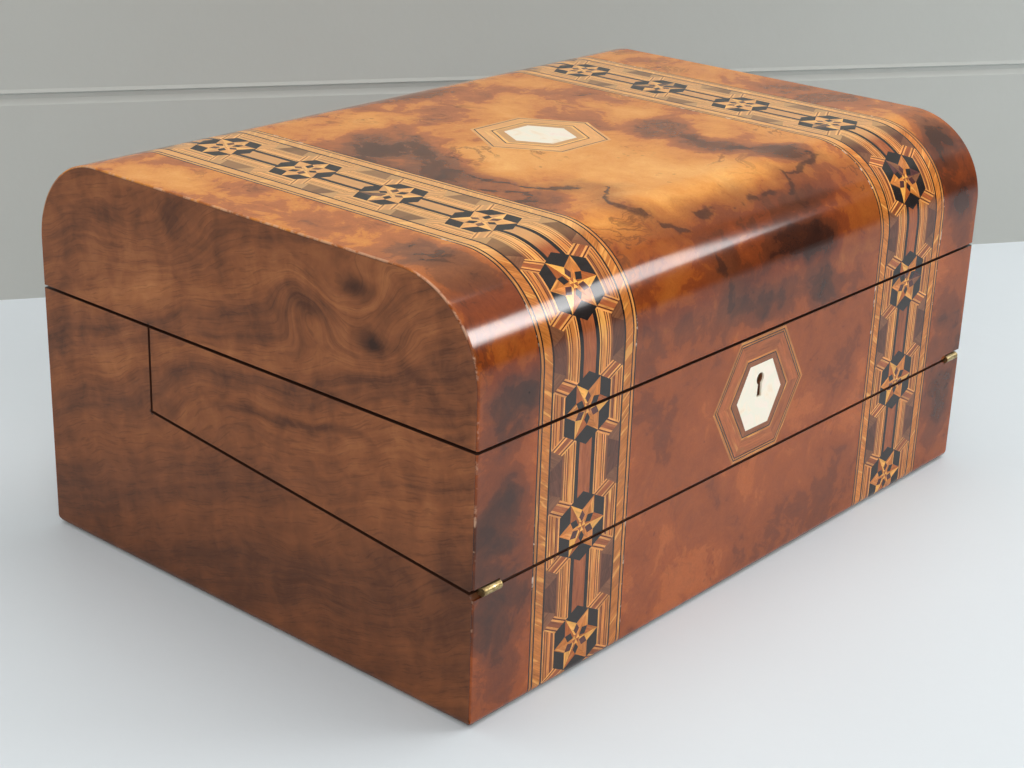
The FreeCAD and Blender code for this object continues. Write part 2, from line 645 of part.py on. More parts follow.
def make_inkwell(side, name):
    """One square glass inkwell, its brass collar with a hinge pin, and its hinged cap."""
    x = side * (INNER_X + DIVIDER_X + DIVIDER_T) / 2
    y = INKWELL_Y
    half = INKWELL / 2
    glass = block(x - half, x + half, y - half, y + half, FLOOR_Z + PLAY / 6, SHOULDER_Z)
    rim = [edge for edge in glass.Edges if edge.BoundBox.ZMin > SHOULDER_Z - 1]
    glass = glass.makeChamfer(SHOULDER_BEVEL, rim)
    glass = glass.fuse(disc(NECK_R, x, y, SHOULDER_Z - 1, NECK_TOP))
    glass = glass.cut(disc(WELL_R, x, y, FLOOR_Z + INKWELL_BASE_T, NECK_TOP + 1))
    save(name + "_inkwell_glass", [glass.removeSplitter()])

    axis_y = y + COLLAR_R + CAP_BARREL_R
    axis_z = NECK_TOP + CAP_AXIS_LIFT
    pin_end = CAP_HINGE_W / 2
    collar = disc(COLLAR_R, x, y, SHOULDER_Z, NECK_TOP - CAP_SEAT)
    collar = collar.cut(disc(NECK_R, x, y, SHOULDER_Z - 1, NECK_TOP + 1))
    for x0 in (x - pin_end, x + pin_end - CAP_BRACKET_W):
        x1 = x0 + CAP_BRACKET_W
        arm_low = axis_z - CAP_BARREL_R - CAP_ARM_DROP
        arm = block(x0, x1, y + NECK_R + 1, axis_y, arm_low, axis_z - CAP_ARM_CLEAR)
        collar = collar.fuse(arm).fuse(rod(CAP_BARREL_R, x0, x1, axis_y, axis_z))
    collar = collar.cut(disc(COLLAR_R + CAP_SEAT, x, y, NECK_TOP, CAP_TOP))
    collar = collar.fuse(rod(CAP_PIN_R, x - pin_end, x + pin_end, axis_y, axis_z))
    save(name + "_inkwell_collar", [collar.removeSplitter()])

    cap = disc(COLLAR_R, x, y, NECK_TOP + CAP_SEAT / 2, CAP_TOP)
    crown = [edge for edge in cap.Edges if edge.BoundBox.ZMin > CAP_TOP - 0.1]
    cap = cap.makeFillet(CAP_ROUND, crown)
    cap = cap.cut(disc(COLLAR_R - CAP_WALL, x, y, NECK_TOP, NECK_TOP + CAP_HOLLOW))
    knuckle_end = pin_end - CAP_BRACKET_W - CAP_KNUCKLE_GAP
    arm = block(x - knuckle_end, x + knuckle_end, y + COLLAR_R - 1, axis_y, axis_z, axis_z + CAP_BARREL_R)
    cap = cap.fuse(arm).fuse(rod(CAP_BARREL_R, x - knuckle_end, x + knuckle_end, axis_y, axis_z))
    cap = cap.cut(rod(CAP_PIN_R + PIN_CLEARANCE, x - pin_end, x + pin_end, axis_y, axis_z))
    save(name + "_inkwell_cap", [cap.removeSplitter()])


def main():
    os.makedirs("parts", exist_ok=True)
    outline = rounded_box()
    make_base(outline)
    make_wedge(outline)
    make_lock()
    make_lid()
    make_hinges()
    make_flap("lower_flap", -1, RISER_Y)
    make_flap("upper_flap", 1, STEP_Y - GAP / 2 - WALL + VENEER)
    make_compartment()
    make_pen_tray()
    make_inkwell(-1, "left")
    make_inkwell(1, "right")


main()
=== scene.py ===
import math
import random

import bpy
from mathutils import Matrix, Vector


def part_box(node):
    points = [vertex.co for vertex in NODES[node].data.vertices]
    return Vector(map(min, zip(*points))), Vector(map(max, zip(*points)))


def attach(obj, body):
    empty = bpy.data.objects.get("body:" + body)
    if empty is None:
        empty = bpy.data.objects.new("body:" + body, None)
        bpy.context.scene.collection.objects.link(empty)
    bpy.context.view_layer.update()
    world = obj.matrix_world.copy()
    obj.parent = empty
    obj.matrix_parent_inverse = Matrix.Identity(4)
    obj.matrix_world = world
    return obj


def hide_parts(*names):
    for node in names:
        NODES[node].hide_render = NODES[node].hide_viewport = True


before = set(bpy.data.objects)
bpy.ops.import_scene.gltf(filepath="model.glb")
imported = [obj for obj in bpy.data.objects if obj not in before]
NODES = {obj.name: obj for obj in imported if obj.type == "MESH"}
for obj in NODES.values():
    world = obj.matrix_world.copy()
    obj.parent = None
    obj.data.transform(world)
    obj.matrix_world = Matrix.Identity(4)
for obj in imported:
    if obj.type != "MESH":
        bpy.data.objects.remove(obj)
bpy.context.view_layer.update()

MM = 0.001


def corners(node):
    """Lowest and highest corner of a CAD node, in mm."""
    low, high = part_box(node)
    return low / MM, high / MM


def add_object(name, data):
    """A new object in the scene."""
    piece = bpy.data.objects.new(name, data)
    bpy.context.scene.collection.objects.link(piece)
    return piece


# ---- The unrolled outside ----

# Sizes in mm: the veneer and its rounded edges, the foot, the dome, the three joints with their
# step, and the bands. BELOW_TOP is how far the base's tiles end below its CAD veneer.
BELOW_TOP = 0.05
LID_LOW, LID_HIGH = corners("lid_veneer")
WEDGE_LOW, WEDGE_HIGH = corners("wedge_front_veneer")
BASE_TOP = corners("base_front_veneer")[1].z - BELOW_TOP
HALF_W = LID_HIGH.x
HALF_D = -LID_LOW.y
HEIGHT = LID_HIGH.z
VENEER = 0.9
ARRIS = 0.7
RIM = 3.4
FOOT_R = 4.0
FOOT_START = 1.35
FOOT_STEPS = 3
FOOT_STEP = 0.9
FOOT_LAP = 1.2
DOME_R = 39.0
SPRING = HEIGHT - DOME_R
QUARTER = DOME_R * math.pi / 2
OUTLINE = 2 * (SPRING + QUARTER + HALF_D - DOME_R)
LID_JOINT_Z = 112.0
FOLD_FRONT_Z = 56.0
STEP_Y = 55.0
STEP_Z = 74.5
GAP_REACH = 0.7
SLOPE = math.atan2(STEP_Z - FOLD_FRONT_Z, STEP_Y + HALF_D)
BAND_MIDDLE = 116.5
BAND_HALF = 28.4
STRIP = 1.6


def front_profile(s):
    """Point and outward normal in the YZ plane, s mm along the outside from the front foot."""
    if s < FOOT_R:
        angle = (FOOT_R - s) / FOOT_R
        out, up = math.cos(angle), math.sin(angle)
        return -HALF_D + FOOT_R * (1 - out), FOOT_R * (1 - up), -out, -up
    if s < SPRING:
        return -HALF_D, s, -1.0, 0.0
    if s < SPRING + QUARTER:
        angle = (s - SPRING) / DOME_R
        out, up = math.cos(angle), math.sin(angle)
        return -HALF_D + DOME_R * (1 - out), SPRING + DOME_R * up, -out, up
    return -HALF_D + DOME_R + s - SPRING - QUARTER, HEIGHT, 0.0, 1.0


def profile(s):
    """The same for the whole outline: its rear half mirrors its front half."""
    if s <= OUTLINE / 2:
        return front_profile(s)
    y, z, ny, nz = front_profile(OUTLINE - s)
    return -y, z, -ny, nz


def place(u, s):
    """Outer point, inner point and normal of the veneer at u across and s along the outside."""
    y, z, ny, nz = profile(s)
    flat = HALF_W - ARRIS
    over = max(abs(u) - flat, 0.0) / ARRIS
    side = math.copysign(1.0, u)
    x = u
    sink = 0.0
    if over > 0:
        x = side * (flat + ARRIS * math.sin(over))
        sink = ARRIS * (1 - math.cos(over))
    normal = Vector((side * math.sin(over), ny * math.cos(over), nz * math.cos(over)))
    outer = Vector((x, y - ny * sink, z - nz * sink))
    inner = Vector((x, y - ny * VENEER, z - nz * VENEER))
    if min(s, OUTLINE - s) < FOOT_R:
        inner = Vector((x, math.copysign(HALF_D - VENEER, y), z))
    return outer * MM, inner * MM, normal


def rear_s(z):
    """Distance along the outside of a point at height z on the back."""
    return OUTLINE - z


def strip_lines(low, high):
    """Where tiles are cut along s so that they follow the curves."""
    stations = []
    spring_in = SPRING + QUARTER
    for start, end in ((0, FOOT_R), (SPRING, spring_in),
                       (OUTLINE - spring_in, OUTLINE - SPRING), (OUTLINE - FOOT_R, OUTLINE)):
        count = math.ceil((end - start) / STRIP)
        stations += [start + (end - start) * i / count for i in range(count + 1)]
    return [s for s in stations if low < s < high]


# Where tiles are cut across so that they follow the rounded edges at both ends.
ARRIS_LINES = [side * (HALF_W - ARRIS + ARRIS * step) for side in (-1, 1) for step in (0, 0.5, 1.05)]
EDGE_U = HALF_W - ARRIS + ARRIS * math.pi / 2


# ---- Convex tiles, inlaid one over another ----

TINY_AREA = 1e-4
TILE_SHADES = (0.86, 1.14)


def area(points):
    """Signed area of a polygon."""
    total = 0.0
    for (ax, ay), (bx, by) in zip(points, points[1:] + points[:1]):
        total += ax * by - bx * ay
    return total / 2


def anticlockwise(points):
    """The polygon with its corners in anticlockwise order."""
    return list(points) if area(points) > 0 else list(reversed(points))


def split(points, a, b):
    """The parts of a convex polygon to the left and to the right of the line from a to b."""
    dx, dy = b[0] - a[0], b[1] - a[1]
    length = math.hypot(dx, dy)
    sides = [(dx * (y - a[1]) - dy * (x - a[0])) / length for x, y in points]
    if min(sides) > -1e-6:
        return points, None
    if max(sides) < 1e-6:
        return None, points
    left, right = [], []
    for i, (p, d) in enumerate(zip(points, sides)):
        q, e = points[(i + 1) % len(points)], sides[(i + 1) % len(points)]
        if d >= 0:
            left.append(p)
        if d <= 0:
            right.append(p)
        if d * e < 0:
            t = d / (d - e)
            cut = (p[0] + (q[0] - p[0]) * t, p[1] + (q[1] - p[1]) * t)
            left.append(cut)
            right.append(cut)
    left = left if len(left) > 2 and area(left) > TINY_AREA else None
    right = right if len(right) > 2 and area(right) > TINY_AREA else None
    return left, right


def clip(points, outline):
    """The part of a convex polygon inside an anticlockwise convex outline, or None."""
    for a, b in zip(outline, outline[1:] + outline[:1]):
        points, _ = split(points, a, b)
        if not points:
            return None
    return points


class Tile:
    """One piece of wood: a convex outline, its wood, the run of its grain and its own number."""

    def __init__(self, points, wood, grain, number):
        self.points = points
        self.wood = wood
        self.grain = grain
        self.number = number
        us = [p[0] for p in points]
        ss = [p[1] for p in points]
        self.span = (min(us), max(us), min(ss), max(ss))

    def misses(self, other):
        """Whether the two tiles' boxes are apart."""
        a, b = self.span, other.span
        return a[1] <= b[0] or b[1] <= a[0] or a[3] <= b[2] or b[3] <= a[2]

    def part(self, points):
        """A piece of the same tile."""
        return Tile(points, self.wood, self.grain, self.number)


def rectangle(u0, u1, s0, s1):
    """An upright rectangle."""
    return [(u0, s0), (u1, s0), (u1, s1), (u0, s1)]


class Panel:
    """A flat area of the unrolled outside, filled with tiles that never overlap."""

    def __init__(self, outline, wood, grain=90.0):
        self.outline = anticlockwise(outline)
        self.count = 0
        self.tiles = [Tile(self.outline, wood, grain, 0)]

    def inlay(self, outline, wood, grain=90.0):
        """Let a tile into the panel. A wood of None leaves a hole."""
        points = clip(anticlockwise(outline), self.outline)
        if not points:
            return
        self.count += 1
        new = Tile(points, wood, grain, self.count)
        kept = []
        for tile in self.tiles:
            if tile.misses(new):
                kept.append(tile)
                continue
            rest = tile.points
            for a, b in zip(points, points[1:] + points[:1]):
                rest, outside = split(rest, a, b)
                if outside:
                    kept.append(tile.part(outside))
                if not rest:
                    break
        if wood is not None:
            kept.append(new)
        self.tiles = kept

    def cut(self, lines_u, lines_s):
        """Cut every tile along upright and level lines."""
        for axis, lines in ((0, lines_u), (1, lines_s)):
            for value in lines:
                a = (value, 0.0) if axis == 0 else (0.0, value)
                b = (value, 1.0) if axis == 0 else (1.0, value)
                cut = []
                for tile in self.tiles:
                    low, high = tile.span[2 * axis], tile.span[2 * axis + 1]
                    if low < value - 1e-6 and high > value + 1e-6:
                        cut += [tile.part(points) for points in split(tile.points, a, b) if points]
                    else:
                        cut.append(tile)
                self.tiles = cut


class Veneer:
    """Gathers panels into one mesh of closed tiles with smooth outer faces."""

    def __init__(self, name, seed):
        self.name = name
        self.random = random.Random(seed)
        self.points = []
        self.faces = []
        self.normals = []
        self.uvs = []
        self.tints = []

    def add(self, panel, woods):
        """Add a panel's tiles. woods gives each wood's colour, or None where the UVs stay plain."""
        low = min(tile.span[2] for tile in panel.tiles)
        high = max(tile.span[3] for tile in panel.tiles)
        panel.cut(ARRIS_LINES, strip_lines(low, high))
        groups = {}
        for tile in panel.tiles:
            groups.setdefault(tile.number, []).append(tile)
        for number in sorted(groups):
            self.add_tile(groups[number], woods)

    def add_tile(self, parts, woods):
        """Add one tile: its outer and inner faces, and walls round its edge."""
        wood, grain = parts[0].wood, math.radians(parts[0].grain)
        shift = (self.random.uniform(-1, 1), self.random.uniform(-1, 1))
        shade = self.random.uniform(*TILE_SHADES)
        tint = woods[wood] if woods else (1.0, 1.0, 1.0)
        colour = tuple(min(channel * shade, 1.0) for channel in tint) + (1.0,)
        index = {}
        edges = {}

        def corner(point):
            key = (round(point[0], 4), round(point[1], 4))
            if key not in index:
                outer, inner, normal = place(*point)
                index[key] = (len(self.points), normal, self.grain_uv(point, grain, shift, woods))
                self.points += [outer, inner]
            return index[key]

        for part in parts:
            ring = []
            for point in part.points:
                found = corner(point)
                if not ring or found[0] != ring[-1][0]:
                    ring.append(found)
            if ring[0][0] == ring[-1][0]:
                ring.pop()
            if len(ring) < 3:
                continue
            self.add_face([c[0] for c in ring], [c[1] for c in ring], [c[2] for c in ring], colour)
            back = list(reversed(ring))
            self.add_face([c[0] + 1 for c in back], [-c[1] for c in back], [c[2] for c in back], colour)
            for c, d in zip(ring, ring[1:] + ring[:1]):
                if (d[0], c[0]) in edges:
                    del edges[(d[0], c[0])]
                else:
                    edges[(c[0], d[0])] = (c, d)
        for c, d in edges.values():
            points = [c[0], c[0] + 1, d[0] + 1, d[0]]
            along = self.points[d[0]] - self.points[c[0]]
            wall = along.cross((c[1] + d[1]) / 2).normalized()
            self.add_face(points, [wall] * 4, [c[2], c[2], d[2], d[2]], colour)

    @staticmethod
    def grain_uv(point, grain, shift, woods):
        """Where a point lies on its wood, in metres. A burr leaf keeps its place on the box."""
        u, s = point[0] * MM, point[1] * MM
        if not woods:
            return u, s
        along = u * math.cos(grain) + s * math.sin(grain)
        across = -u * math.sin(grain) + s * math.cos(grain)
        return along + shift[0], across + shift[1]

    def add_face(self, points, normals, uvs, colour):
        """One face with its own normals, UVs and colour."""
        self.faces.append(points)
        self.normals += normals
        self.uvs += uvs
        self.tints += [colour] * len(points)

    def build(self, body, slot, material, *replaced):
        """Make the object and let it ride on its body."""
        mesh = bpy.data.meshes.new(self.name)
        mesh.from_pydata(self.points, [], self.faces)
        mesh.uv_layers.new(name="grain")
        mesh.color_attributes.new("tint", "FLOAT_COLOR", "CORNER")
        uvs = [value for uv in self.uvs for value in uv]
        tints = [value for tint in self.tints for value in tint]
        mesh.uv_layers["grain"].data.foreach_set("uv", uvs)
        mesh.color_attributes["tint"].data.foreach_set("color", tints)
        mesh.normals_split_custom_set([tuple(normal) for normal in self.normals])
        piece = add_object(self.name, mesh)
        mesh.materials.append(material)
        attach(piece, body)
        if replaced:
            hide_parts(*replaced)
        return piece


# ---- Materials ----

def srgb(red, green, blue):
    """A display colour, 0 to 255, as a linear one."""
    channels = []
    for value in (red, green, blue):
        c = value / 255
        channels.append(c / 12.92 if c <= 0.04045 else ((c + 0.055) / 1.055) ** 2.4)
    return tuple(channels)


# Dark brown of the gap walls near the outside: dark polish on the edges and painted shade in the gaps.
GAP_POLISH_AND_SHADE = srgb(66, 40, 29)
POLISH = {"Specular IOR Level": 0.0, "Coat Weight": 0.90, "Coat Roughness": 0.12, "Coat IOR": 1.42}


class Graph:
    """Builds one material's node tree."""

    def __init__(self, name):
        self.material = bpy.data.materials.new(name)
        self.material.use_nodes = True
        self.tree = self.material.node_tree
        self.tree.nodes.clear()
        self.output = self.tree.nodes.new("ShaderNodeOutputMaterial")

    def feed(self, socket, value):
        """Link a socket, or set its value."""
        if isinstance(value, bpy.types.NodeSocket):
            self.tree.links.new(value, socket)
        elif socket.type == "RGBA" and len(value) == 3:
            socket.default_value = (*value, 1.0)
        else:
            socket.default_value = value

    def node(self, kind, inputs=None, **settings):
        """Add a node, with settings as its properties and inputs by name or number."""
        node = self.tree.nodes.new("ShaderNode" + kind)
        for key, value in settings.items():
            setattr(node, key, value)
        for key, value in (inputs or {}).items():
            self.feed(node.inputs[key], value)
        return node

    def math(self, operation, a, b=0.0, clamp=False):
        return self.node("Math", {0: a, 1: b}, operation=operation, use_clamp=clamp).outputs[0]

    def chain(self, operation, values):
        """The values joined from the left by one operation."""
        result = values[0]
        for value in values[1:]:
            result = self.math(operation, result, value)
        return result

    def plus(self, *values):
        return self.chain("ADD", values)

    def times(self, *values):
        return self.chain("MULTIPLY", values)

    def larger(self, *values):
        return self.chain("MAXIMUM", values)

    def smaller(self, *values):
        return self.chain("MINIMUM", values)

    def minus(self, a, b):
        return self.math("SUBTRACT", a, b)

    def absolute(self, a):
        return self.math("ABSOLUTE", a)

    def vector(self, operation, a, b=(0, 0, 0)):
        node = self.node("VectorMath", {0: a, 1: b}, operation=operation)
        return node.outputs["Value" if operation == "LENGTH" else "Vector"]

    def scaled(self, vector, amount):
        return self.node("VectorMath", {0: vector, "Scale": amount}, operation="SCALE").outputs[0]

    def split(self, vector):
        return self.node("SeparateXYZ", {0: vector}).outputs

    def join(self, x, y, z=0.0):
        return self.node("CombineXYZ", {0: x, 1: y, 2: z}).outputs[0]

    def noise(self, vector, scale, detail=3.0, roughness=0.5, distortion=0.0, colour=False):
        node = self.node("TexNoise", {"Vector": vector, "Scale": scale, "Detail": detail,
                                      "Roughness": roughness, "Distortion": distortion})
        return node.outputs["Color" if colour else 0]

    def fade(self, value, low, high, to_low=0.0, to_high=1.0):
        """Smoothly from to_low at low to to_high at high."""
        node = self.node("MapRange", {"Value": value, "From Min": low, "From Max": high,
                                      "To Min": to_low, "To Max": to_high},
                         interpolation_type="SMOOTHSTEP")
        return node.outputs[0]

    def ramp(self, value, *stops):
        """Colours at positions along 0 to 1."""
        node = self.node("ValToRGB", {0: value})
        elements = node.color_ramp.elements
        while len(elements) < len(stops):
            elements.new(0.5)
        for element, (position, colour) in zip(elements, stops):
            element.position = position
            element.color = (*colour, 1.0)
        return node.outputs[0]

    def mix(self, factor, a, b, blend="MIX"):
        node = self.node("Mix", data_type="RGBA", blend_type=blend)
        self.feed(node.inputs[0], factor)
        self.feed(node.inputs[6], a)
        self.feed(node.inputs[7], b)
        return node.outputs[2]

    def paint(self, colour, rgb, *masks):
        """The colour with a display colour laid over it where the product of the masks is high."""
        return self.mix(self.times(*masks), colour, srgb(*rgb))

    def blob(self, place, centre, radii, turn=0.0, soft=0.7):
        """1 inside an ellipse, fading out to 0 at its edge. Lengths in mm."""
        local = self.node("Mapping", {"Vector": place, "Location": (centre[0] * MM, centre[1] * MM, 0),
                                      "Rotation": (0, 0, math.radians(turn)),
                                      "Scale": (radii[0] * MM, radii[1] * MM, 1)},
                          vector_type="TEXTURE").outputs[0]
        return self.fade(self.vector("LENGTH", local), 1.0, 1.0 - soft)

    def polish_and_shade_mask(self, place):
        """One on the walls of the gaps between the base, the wedge and the lid, near the outside: there
        dark polish and painted shade are laid.
        """
        x, y, z = self.split(place)
        fold = self.plus(self.times(y, math.tan(SLOPE)),
                         (FOLD_FRONT_Z + HALF_D * math.tan(SLOPE)) * MM)
        lid = self.absolute(self.minus(z, LID_JOINT_Z * MM))
        fold = self.absolute(self.minus(z, fold))
        riser = self.absolute(self.minus(y, STEP_Y * MM))
        behind = self.minus(y, (STEP_Y + GAP_REACH) * MM)
        under = self.minus((STEP_Z - GAP_REACH) * MM, z)
        over = self.minus(z, (LID_JOINT_Z + GAP_REACH) * MM)
        fold = self.larger(fold, behind)
        riser = self.larger(riser, under, over)
        nearest = self.smaller(lid, fold, riser)
        side = self.minus(self.absolute(x), (HALF_W - RIM) * MM)
        front = self.minus(self.absolute(y), (HALF_D - RIM) * MM)
        outside = self.fade(self.larger(side, front), -0.0001, 0.0001)
        return self.times(self.fade(nearest, (GAP_REACH + 0.03) * MM, (GAP_REACH - 0.04) * MM), outside)

    def away_from(self, place, start, end):
        """Distance, in metres, of a point from the line between two points given in mm."""
        a = (start[0] * MM, start[1] * MM, 0)
        step = ((end[0] - start[0]) * MM, (end[1] - start[1]) * MM, 0)
        offset = self.vector("SUBTRACT", place, a)
        along = self.node("VectorMath", {0: offset, 1: step}, operation="DOT_PRODUCT").outputs["Value"]
        share = self.math("DIVIDE", along, step[0] ** 2 + step[1] ** 2, clamp=True)
        return self.vector("LENGTH", self.vector("SUBTRACT", offset, self.scaled(step, share)))

    def drawn_out(self, vector, scale):
        """The vector scaled along its first axis, so that a texture runs in long streaks."""
        return self.node("Mapping", {"Vector": vector, "Scale": (scale, 1.0, 1.0)}).outputs[0]

    def warp(self, vector, amount, scale, detail=2.0):
        """The vector pushed about by noise of that size."""
        push = self.vector("SUBTRACT", self.noise(vector, scale, detail, colour=True), (0.5, 0.5, 0.5))
        return self.vector("ADD", vector, self.scaled(push, amount))

    def finish(self, inputs, height=None, distance=0.0002):
        """A principled surface with bump from height."""
        shader = self.node("BsdfPrincipled", inputs)
        if height is not None:
            bump = self.node("Bump", {"Height": height, "Distance": distance, "Strength": 1.0})
            self.feed(shader.inputs["Normal"], bump.outputs[0])
        self.feed(self.output.inputs[0], shader.outputs[0])
        return self.material

    def plane_uv(self):
        """The veneer's own unrolled place."""
        return self.node("UVMap", uv_map="grain").outputs[0]

    def object_place(self):
        """A point's place on the closed box, in metres."""
        return self.node("TexCoord").outputs["Object"]


# Figure of the burr leaves on the unrolled outside, in mm: veins as paths, and clouds as ellipses
# with a centre, two radii, a turn in degrees and how much they lighten the wood. Some of the clouds
# low on the front are painted shade and painted light, darker towards the left and lighter towards
# the right, as the light falls from the right.
VEINS = (((-88, 262), (-76, 268), (-70, 260), (-74, 240), (-66, 224), (-50, 212), (-46, 203), (-58, 197),
          (-62, 186), (-54, 173), (-44, 165), (-37, 157), (-31, 144), (-25, 126)),
         ((-86, 236), (-76, 222), (-82, 212), (-90, 217)),
         ((-30, 171), (-10, 169), (5, 174), (15, 168), (30, 168), (38, 178), (54, 175), (70, 180)),
         ((70, 180), (56, 196), (40, 212), (46, 236)))
FIGURE_AND_SHADE_CLOUDS = (
    ((-16, 232), (56, 48), 0, 0.13), ((-10, 192), (54, 27), 0, 0.15), ((-40, 262), (26, 34), -20, 0.11),
    ((-78, 292), (38, 54), 0, -0.14), ((-58, 322), (42, 20), 40, -0.11), ((-80, 246), (17, 26), 0, -0.10),
    ((-78, 217), (18, 13), 0, -0.10), ((48, 250), (20, 30), -25, -0.10), ((42, 214), (14, 24), 30, -0.10),
    ((58, 190), (20, 16), 0, -0.15), ((-74, 184), (16, 20), 0, 0.05), ((20, 162), (58, 10), 0, -0.11),
    ((60, 277), (22, 16), 0, 0.08), ((36, 326), (34, 18), 30, 0.09), ((68, 238), (24, 14), 20, 0.07),
    ((-24, 138), (20, 22), 0, -0.20), ((24, 146), (50, 13), 0, -0.20), ((-8, 124), (20, 12), 0, -0.14),
    ((16, 122), (15, 12), 0, -0.14), ((44, 122), (22, 13), 0, -0.14), ((-70, 128), (22, 16), 0, -0.05),
    ((18, 366), (26, 13), 10, -0.10), ((-20, 352), (50, 18), 20, 0.07), ((76, 345), (22, 26), 0, 0.05),
    ((-166, 335), (14, 40), 0, 0.12), ((-158, 262), (24, 40), 0, -0.04),
    ((-161, 184), (24, 32), 0, -0.14), ((162, 270), (20, 90), 0, -0.02), ((162, 152), (24, 50), 0, -0.16),
    # Among the clouds low on the front: painted shade towards the left end, painted light towards the
    # right.
    ((-161, 122), (24, 22), 0, -0.18), ((-163, 60), (30, 96), 0, -0.18), ((-161, 30), (20, 34), 0, -0.08),
    ((162, 60), (24, 70), 0, -0.16), ((86, 74), (18, 26), 0, 0.05), ((-72, 50), (22, 60), 0, -0.04),
    ((10, 50), (60, 40), 0, 0.04), ((66, 16), (44, 34), 0, -0.05), ((0, 124), (90, 14), 0, -0.05),
)


def burr_tone(g, fine, ragged):
    """Light and dark of the burr: noise at three sizes, and the clouds, some of them painted shade and
    light.
    """
    cloud = g.noise(fine, 15.0, 6.0, 0.58, 0.5)
    patch = g.noise(fine, 44.0, 5.0, 0.62, 0.7)
    mottle = g.noise(fine, 150.0, 4.0, 0.65, 0.5)
    tone = g.plus(g.times(cloud, 0.62), g.times(patch, 0.36), g.times(mottle, 0.14), -0.050)
    for centre, radii, turn, push in FIGURE_AND_SHADE_CLOUDS:
        tone = g.plus(tone, g.times(g.blob(ragged, centre, radii, turn), push))
    return tone


def burr_colour(g, tone, upright, s):
    """Gold on top of the lid, red-brown where it is upright, and painted shade on the lid's
    front curve.
    """
    tone = g.plus(tone, g.times(upright, -0.01))
    gold = g.ramp(tone, (0.18, srgb(62, 34, 22)), (0.31, srgb(92, 54, 32)), (0.325, srgb(118, 70, 42)),
                  (0.40, srgb(138, 82, 48)), (0.415, srgb(158, 90, 46)), (0.49, srgb(180, 104, 52)),
                  (0.505, srgb(202, 124, 54)), (0.60, srgb(220, 146, 66)), (0.76, srgb(236, 170, 90)))
    brown = g.ramp(tone, (0.20, srgb(60, 28, 12)), (0.31, srgb(92, 42, 14)), (0.325, srgb(108, 49, 15)),
                   (0.42, srgb(126, 58, 17)), (0.435, srgb(140, 66, 19)), (0.55, srgb(158, 76, 24)),
                   (0.565, srgb(170, 85, 29)), (0.78, srgb(192, 104, 42)))
    # Painted shade: the lid's front curve is darkened, as little light falls on it.
    curve_shade = g.times(g.fade(s, 0.122, 0.138), g.fade(s, 0.186, 0.164))
    return g.mix(g.times(curve_shade, 0.92), g.mix(upright, gold, brown), (0.43, 0.25, 0.13), "MULTIPLY")


def burr_figure(g, colour, uv, broad, fine, ragged, upright):
    """The drawn veins with a brown halo, fine veins, clusters of eyes and the small grain."""
    strokes = g.smaller(*[g.away_from(ragged, start, end)
                          for path in VEINS for start, end in zip(path, path[1:])])
    width = g.fade(g.noise(uv, 60.0, 3.0), 0.30, 0.70, 0.0007, 0.0040)
    stroke = g.math("SUBTRACT", 1.0, g.math("DIVIDE", strokes, width), clamp=True)
    halo = g.fade(strokes, 0.014, 0.001)
    colour = g.paint(colour, (104, 56, 30), halo, 0.42)
    colour = g.paint(colour, (58, 31, 19), g.fade(stroke, 0.0, 0.60), 0.75)

    ridge = g.absolute(g.minus(g.noise(fine, 20.0, 5.0, 0.66, 1.6), 0.5))
    where = g.fade(g.noise(broad, 14.0, 2.0), 0.50, 0.60)
    calm = g.minus(1.0, g.times(upright, 0.70))
    vein = g.times(g.fade(ridge, 0.030, 0.002), where, calm)
    colour = g.paint(colour, (70, 36, 20), vein, 0.50)

    eyes = g.node("TexVoronoi", {"Vector": fine, "Scale": 210.0, "Randomness": 1.0}).outputs["Distance"]
    clusters = g.fade(g.noise(broad, 34.0, 2.0), 0.55, 0.66)
    eye = g.times(g.fade(eyes, 0.24, 0.08), clusters)
    colour = g.paint(colour, (66, 30, 16), eye, 0.45)

    grain = g.noise(g.warp(fine, 0.003, 400.0), 1100.0, 3.0, 0.7)
    return g.mix(0.40, colour, g.ramp(grain, (0.3, (0.36, 0.34, 0.32)), (0.7, (0.64, 0.64, 0.64))),
                 "OVERLAY")


def burr_chips_and_glint(g, colour, uv, u, s):
    """Pale chips along the edges at both ends, most of them over the lid, where the pale line is
    also a painted highlight on the rounded edges.
    """
    edge = g.fade(g.absolute(u), (HALF_W - 0.9) * MM, (HALF_W - 0.05) * MM)
    curved = g.times(g.fade(s, 0.128, 0.150), g.fade(s, 0.432, 0.410))
    # Over the lid's curve the pale edge is a painted highlight on the rounded edge as well as chips.
    chips_and_glint = g.plus(g.times(curved, 0.10), g.noise(uv, 110.0, 4.0, 0.7))
    worn = g.times(edge, g.fade(chips_and_glint, 0.55, 0.68))
    return g.paint(colour, (214, 172, 140), worn, 0.60)


def burr_walnut():
    """Polished burr walnut veneer: gold to chocolate clouds, dark veins and small eyes."""
    g = Graph("burr_walnut")
    uv = g.plane_uv()
    u, s, _ = g.split(uv)
    broad = g.warp(uv, 0.026, 17.0, 3.0)
    fine = g.warp(broad, 0.010, 75.0, 5.0)
    ragged = g.warp(g.warp(uv, 0.020, 45.0, 5.0), 0.006, 160.0, 4.0)
    upright = g.larger(g.fade(s, 0.150, 0.120), g.fade(s, 0.400, 0.430))
    colour = burr_colour(g, burr_tone(g, fine, ragged), upright, s)
    colour = burr_figure(g, colour, uv, broad, fine, ragged, upright)
    colour = burr_chips_and_glint(g, colour, uv, u, s)
    # Dark polish and painted shade on the walls of the gaps.
    colour = g.mix(g.polish_and_shade_mask(g.object_place()), colour, GAP_POLISH_AND_SHADE)
    roughness = g.fade(g.noise(uv, 60.0, 4.0), 0.3, 0.7, 0.30, 0.42)
    sway = g.noise(uv, 55.0, 3.0, 0.55)
    height = g.plus(sway, g.times(g.noise(uv, 480.0, 3.0), 0.05))
    return g.finish({"Base Color": colour, "Roughness": roughness, **POLISH}, height, 0.00034)


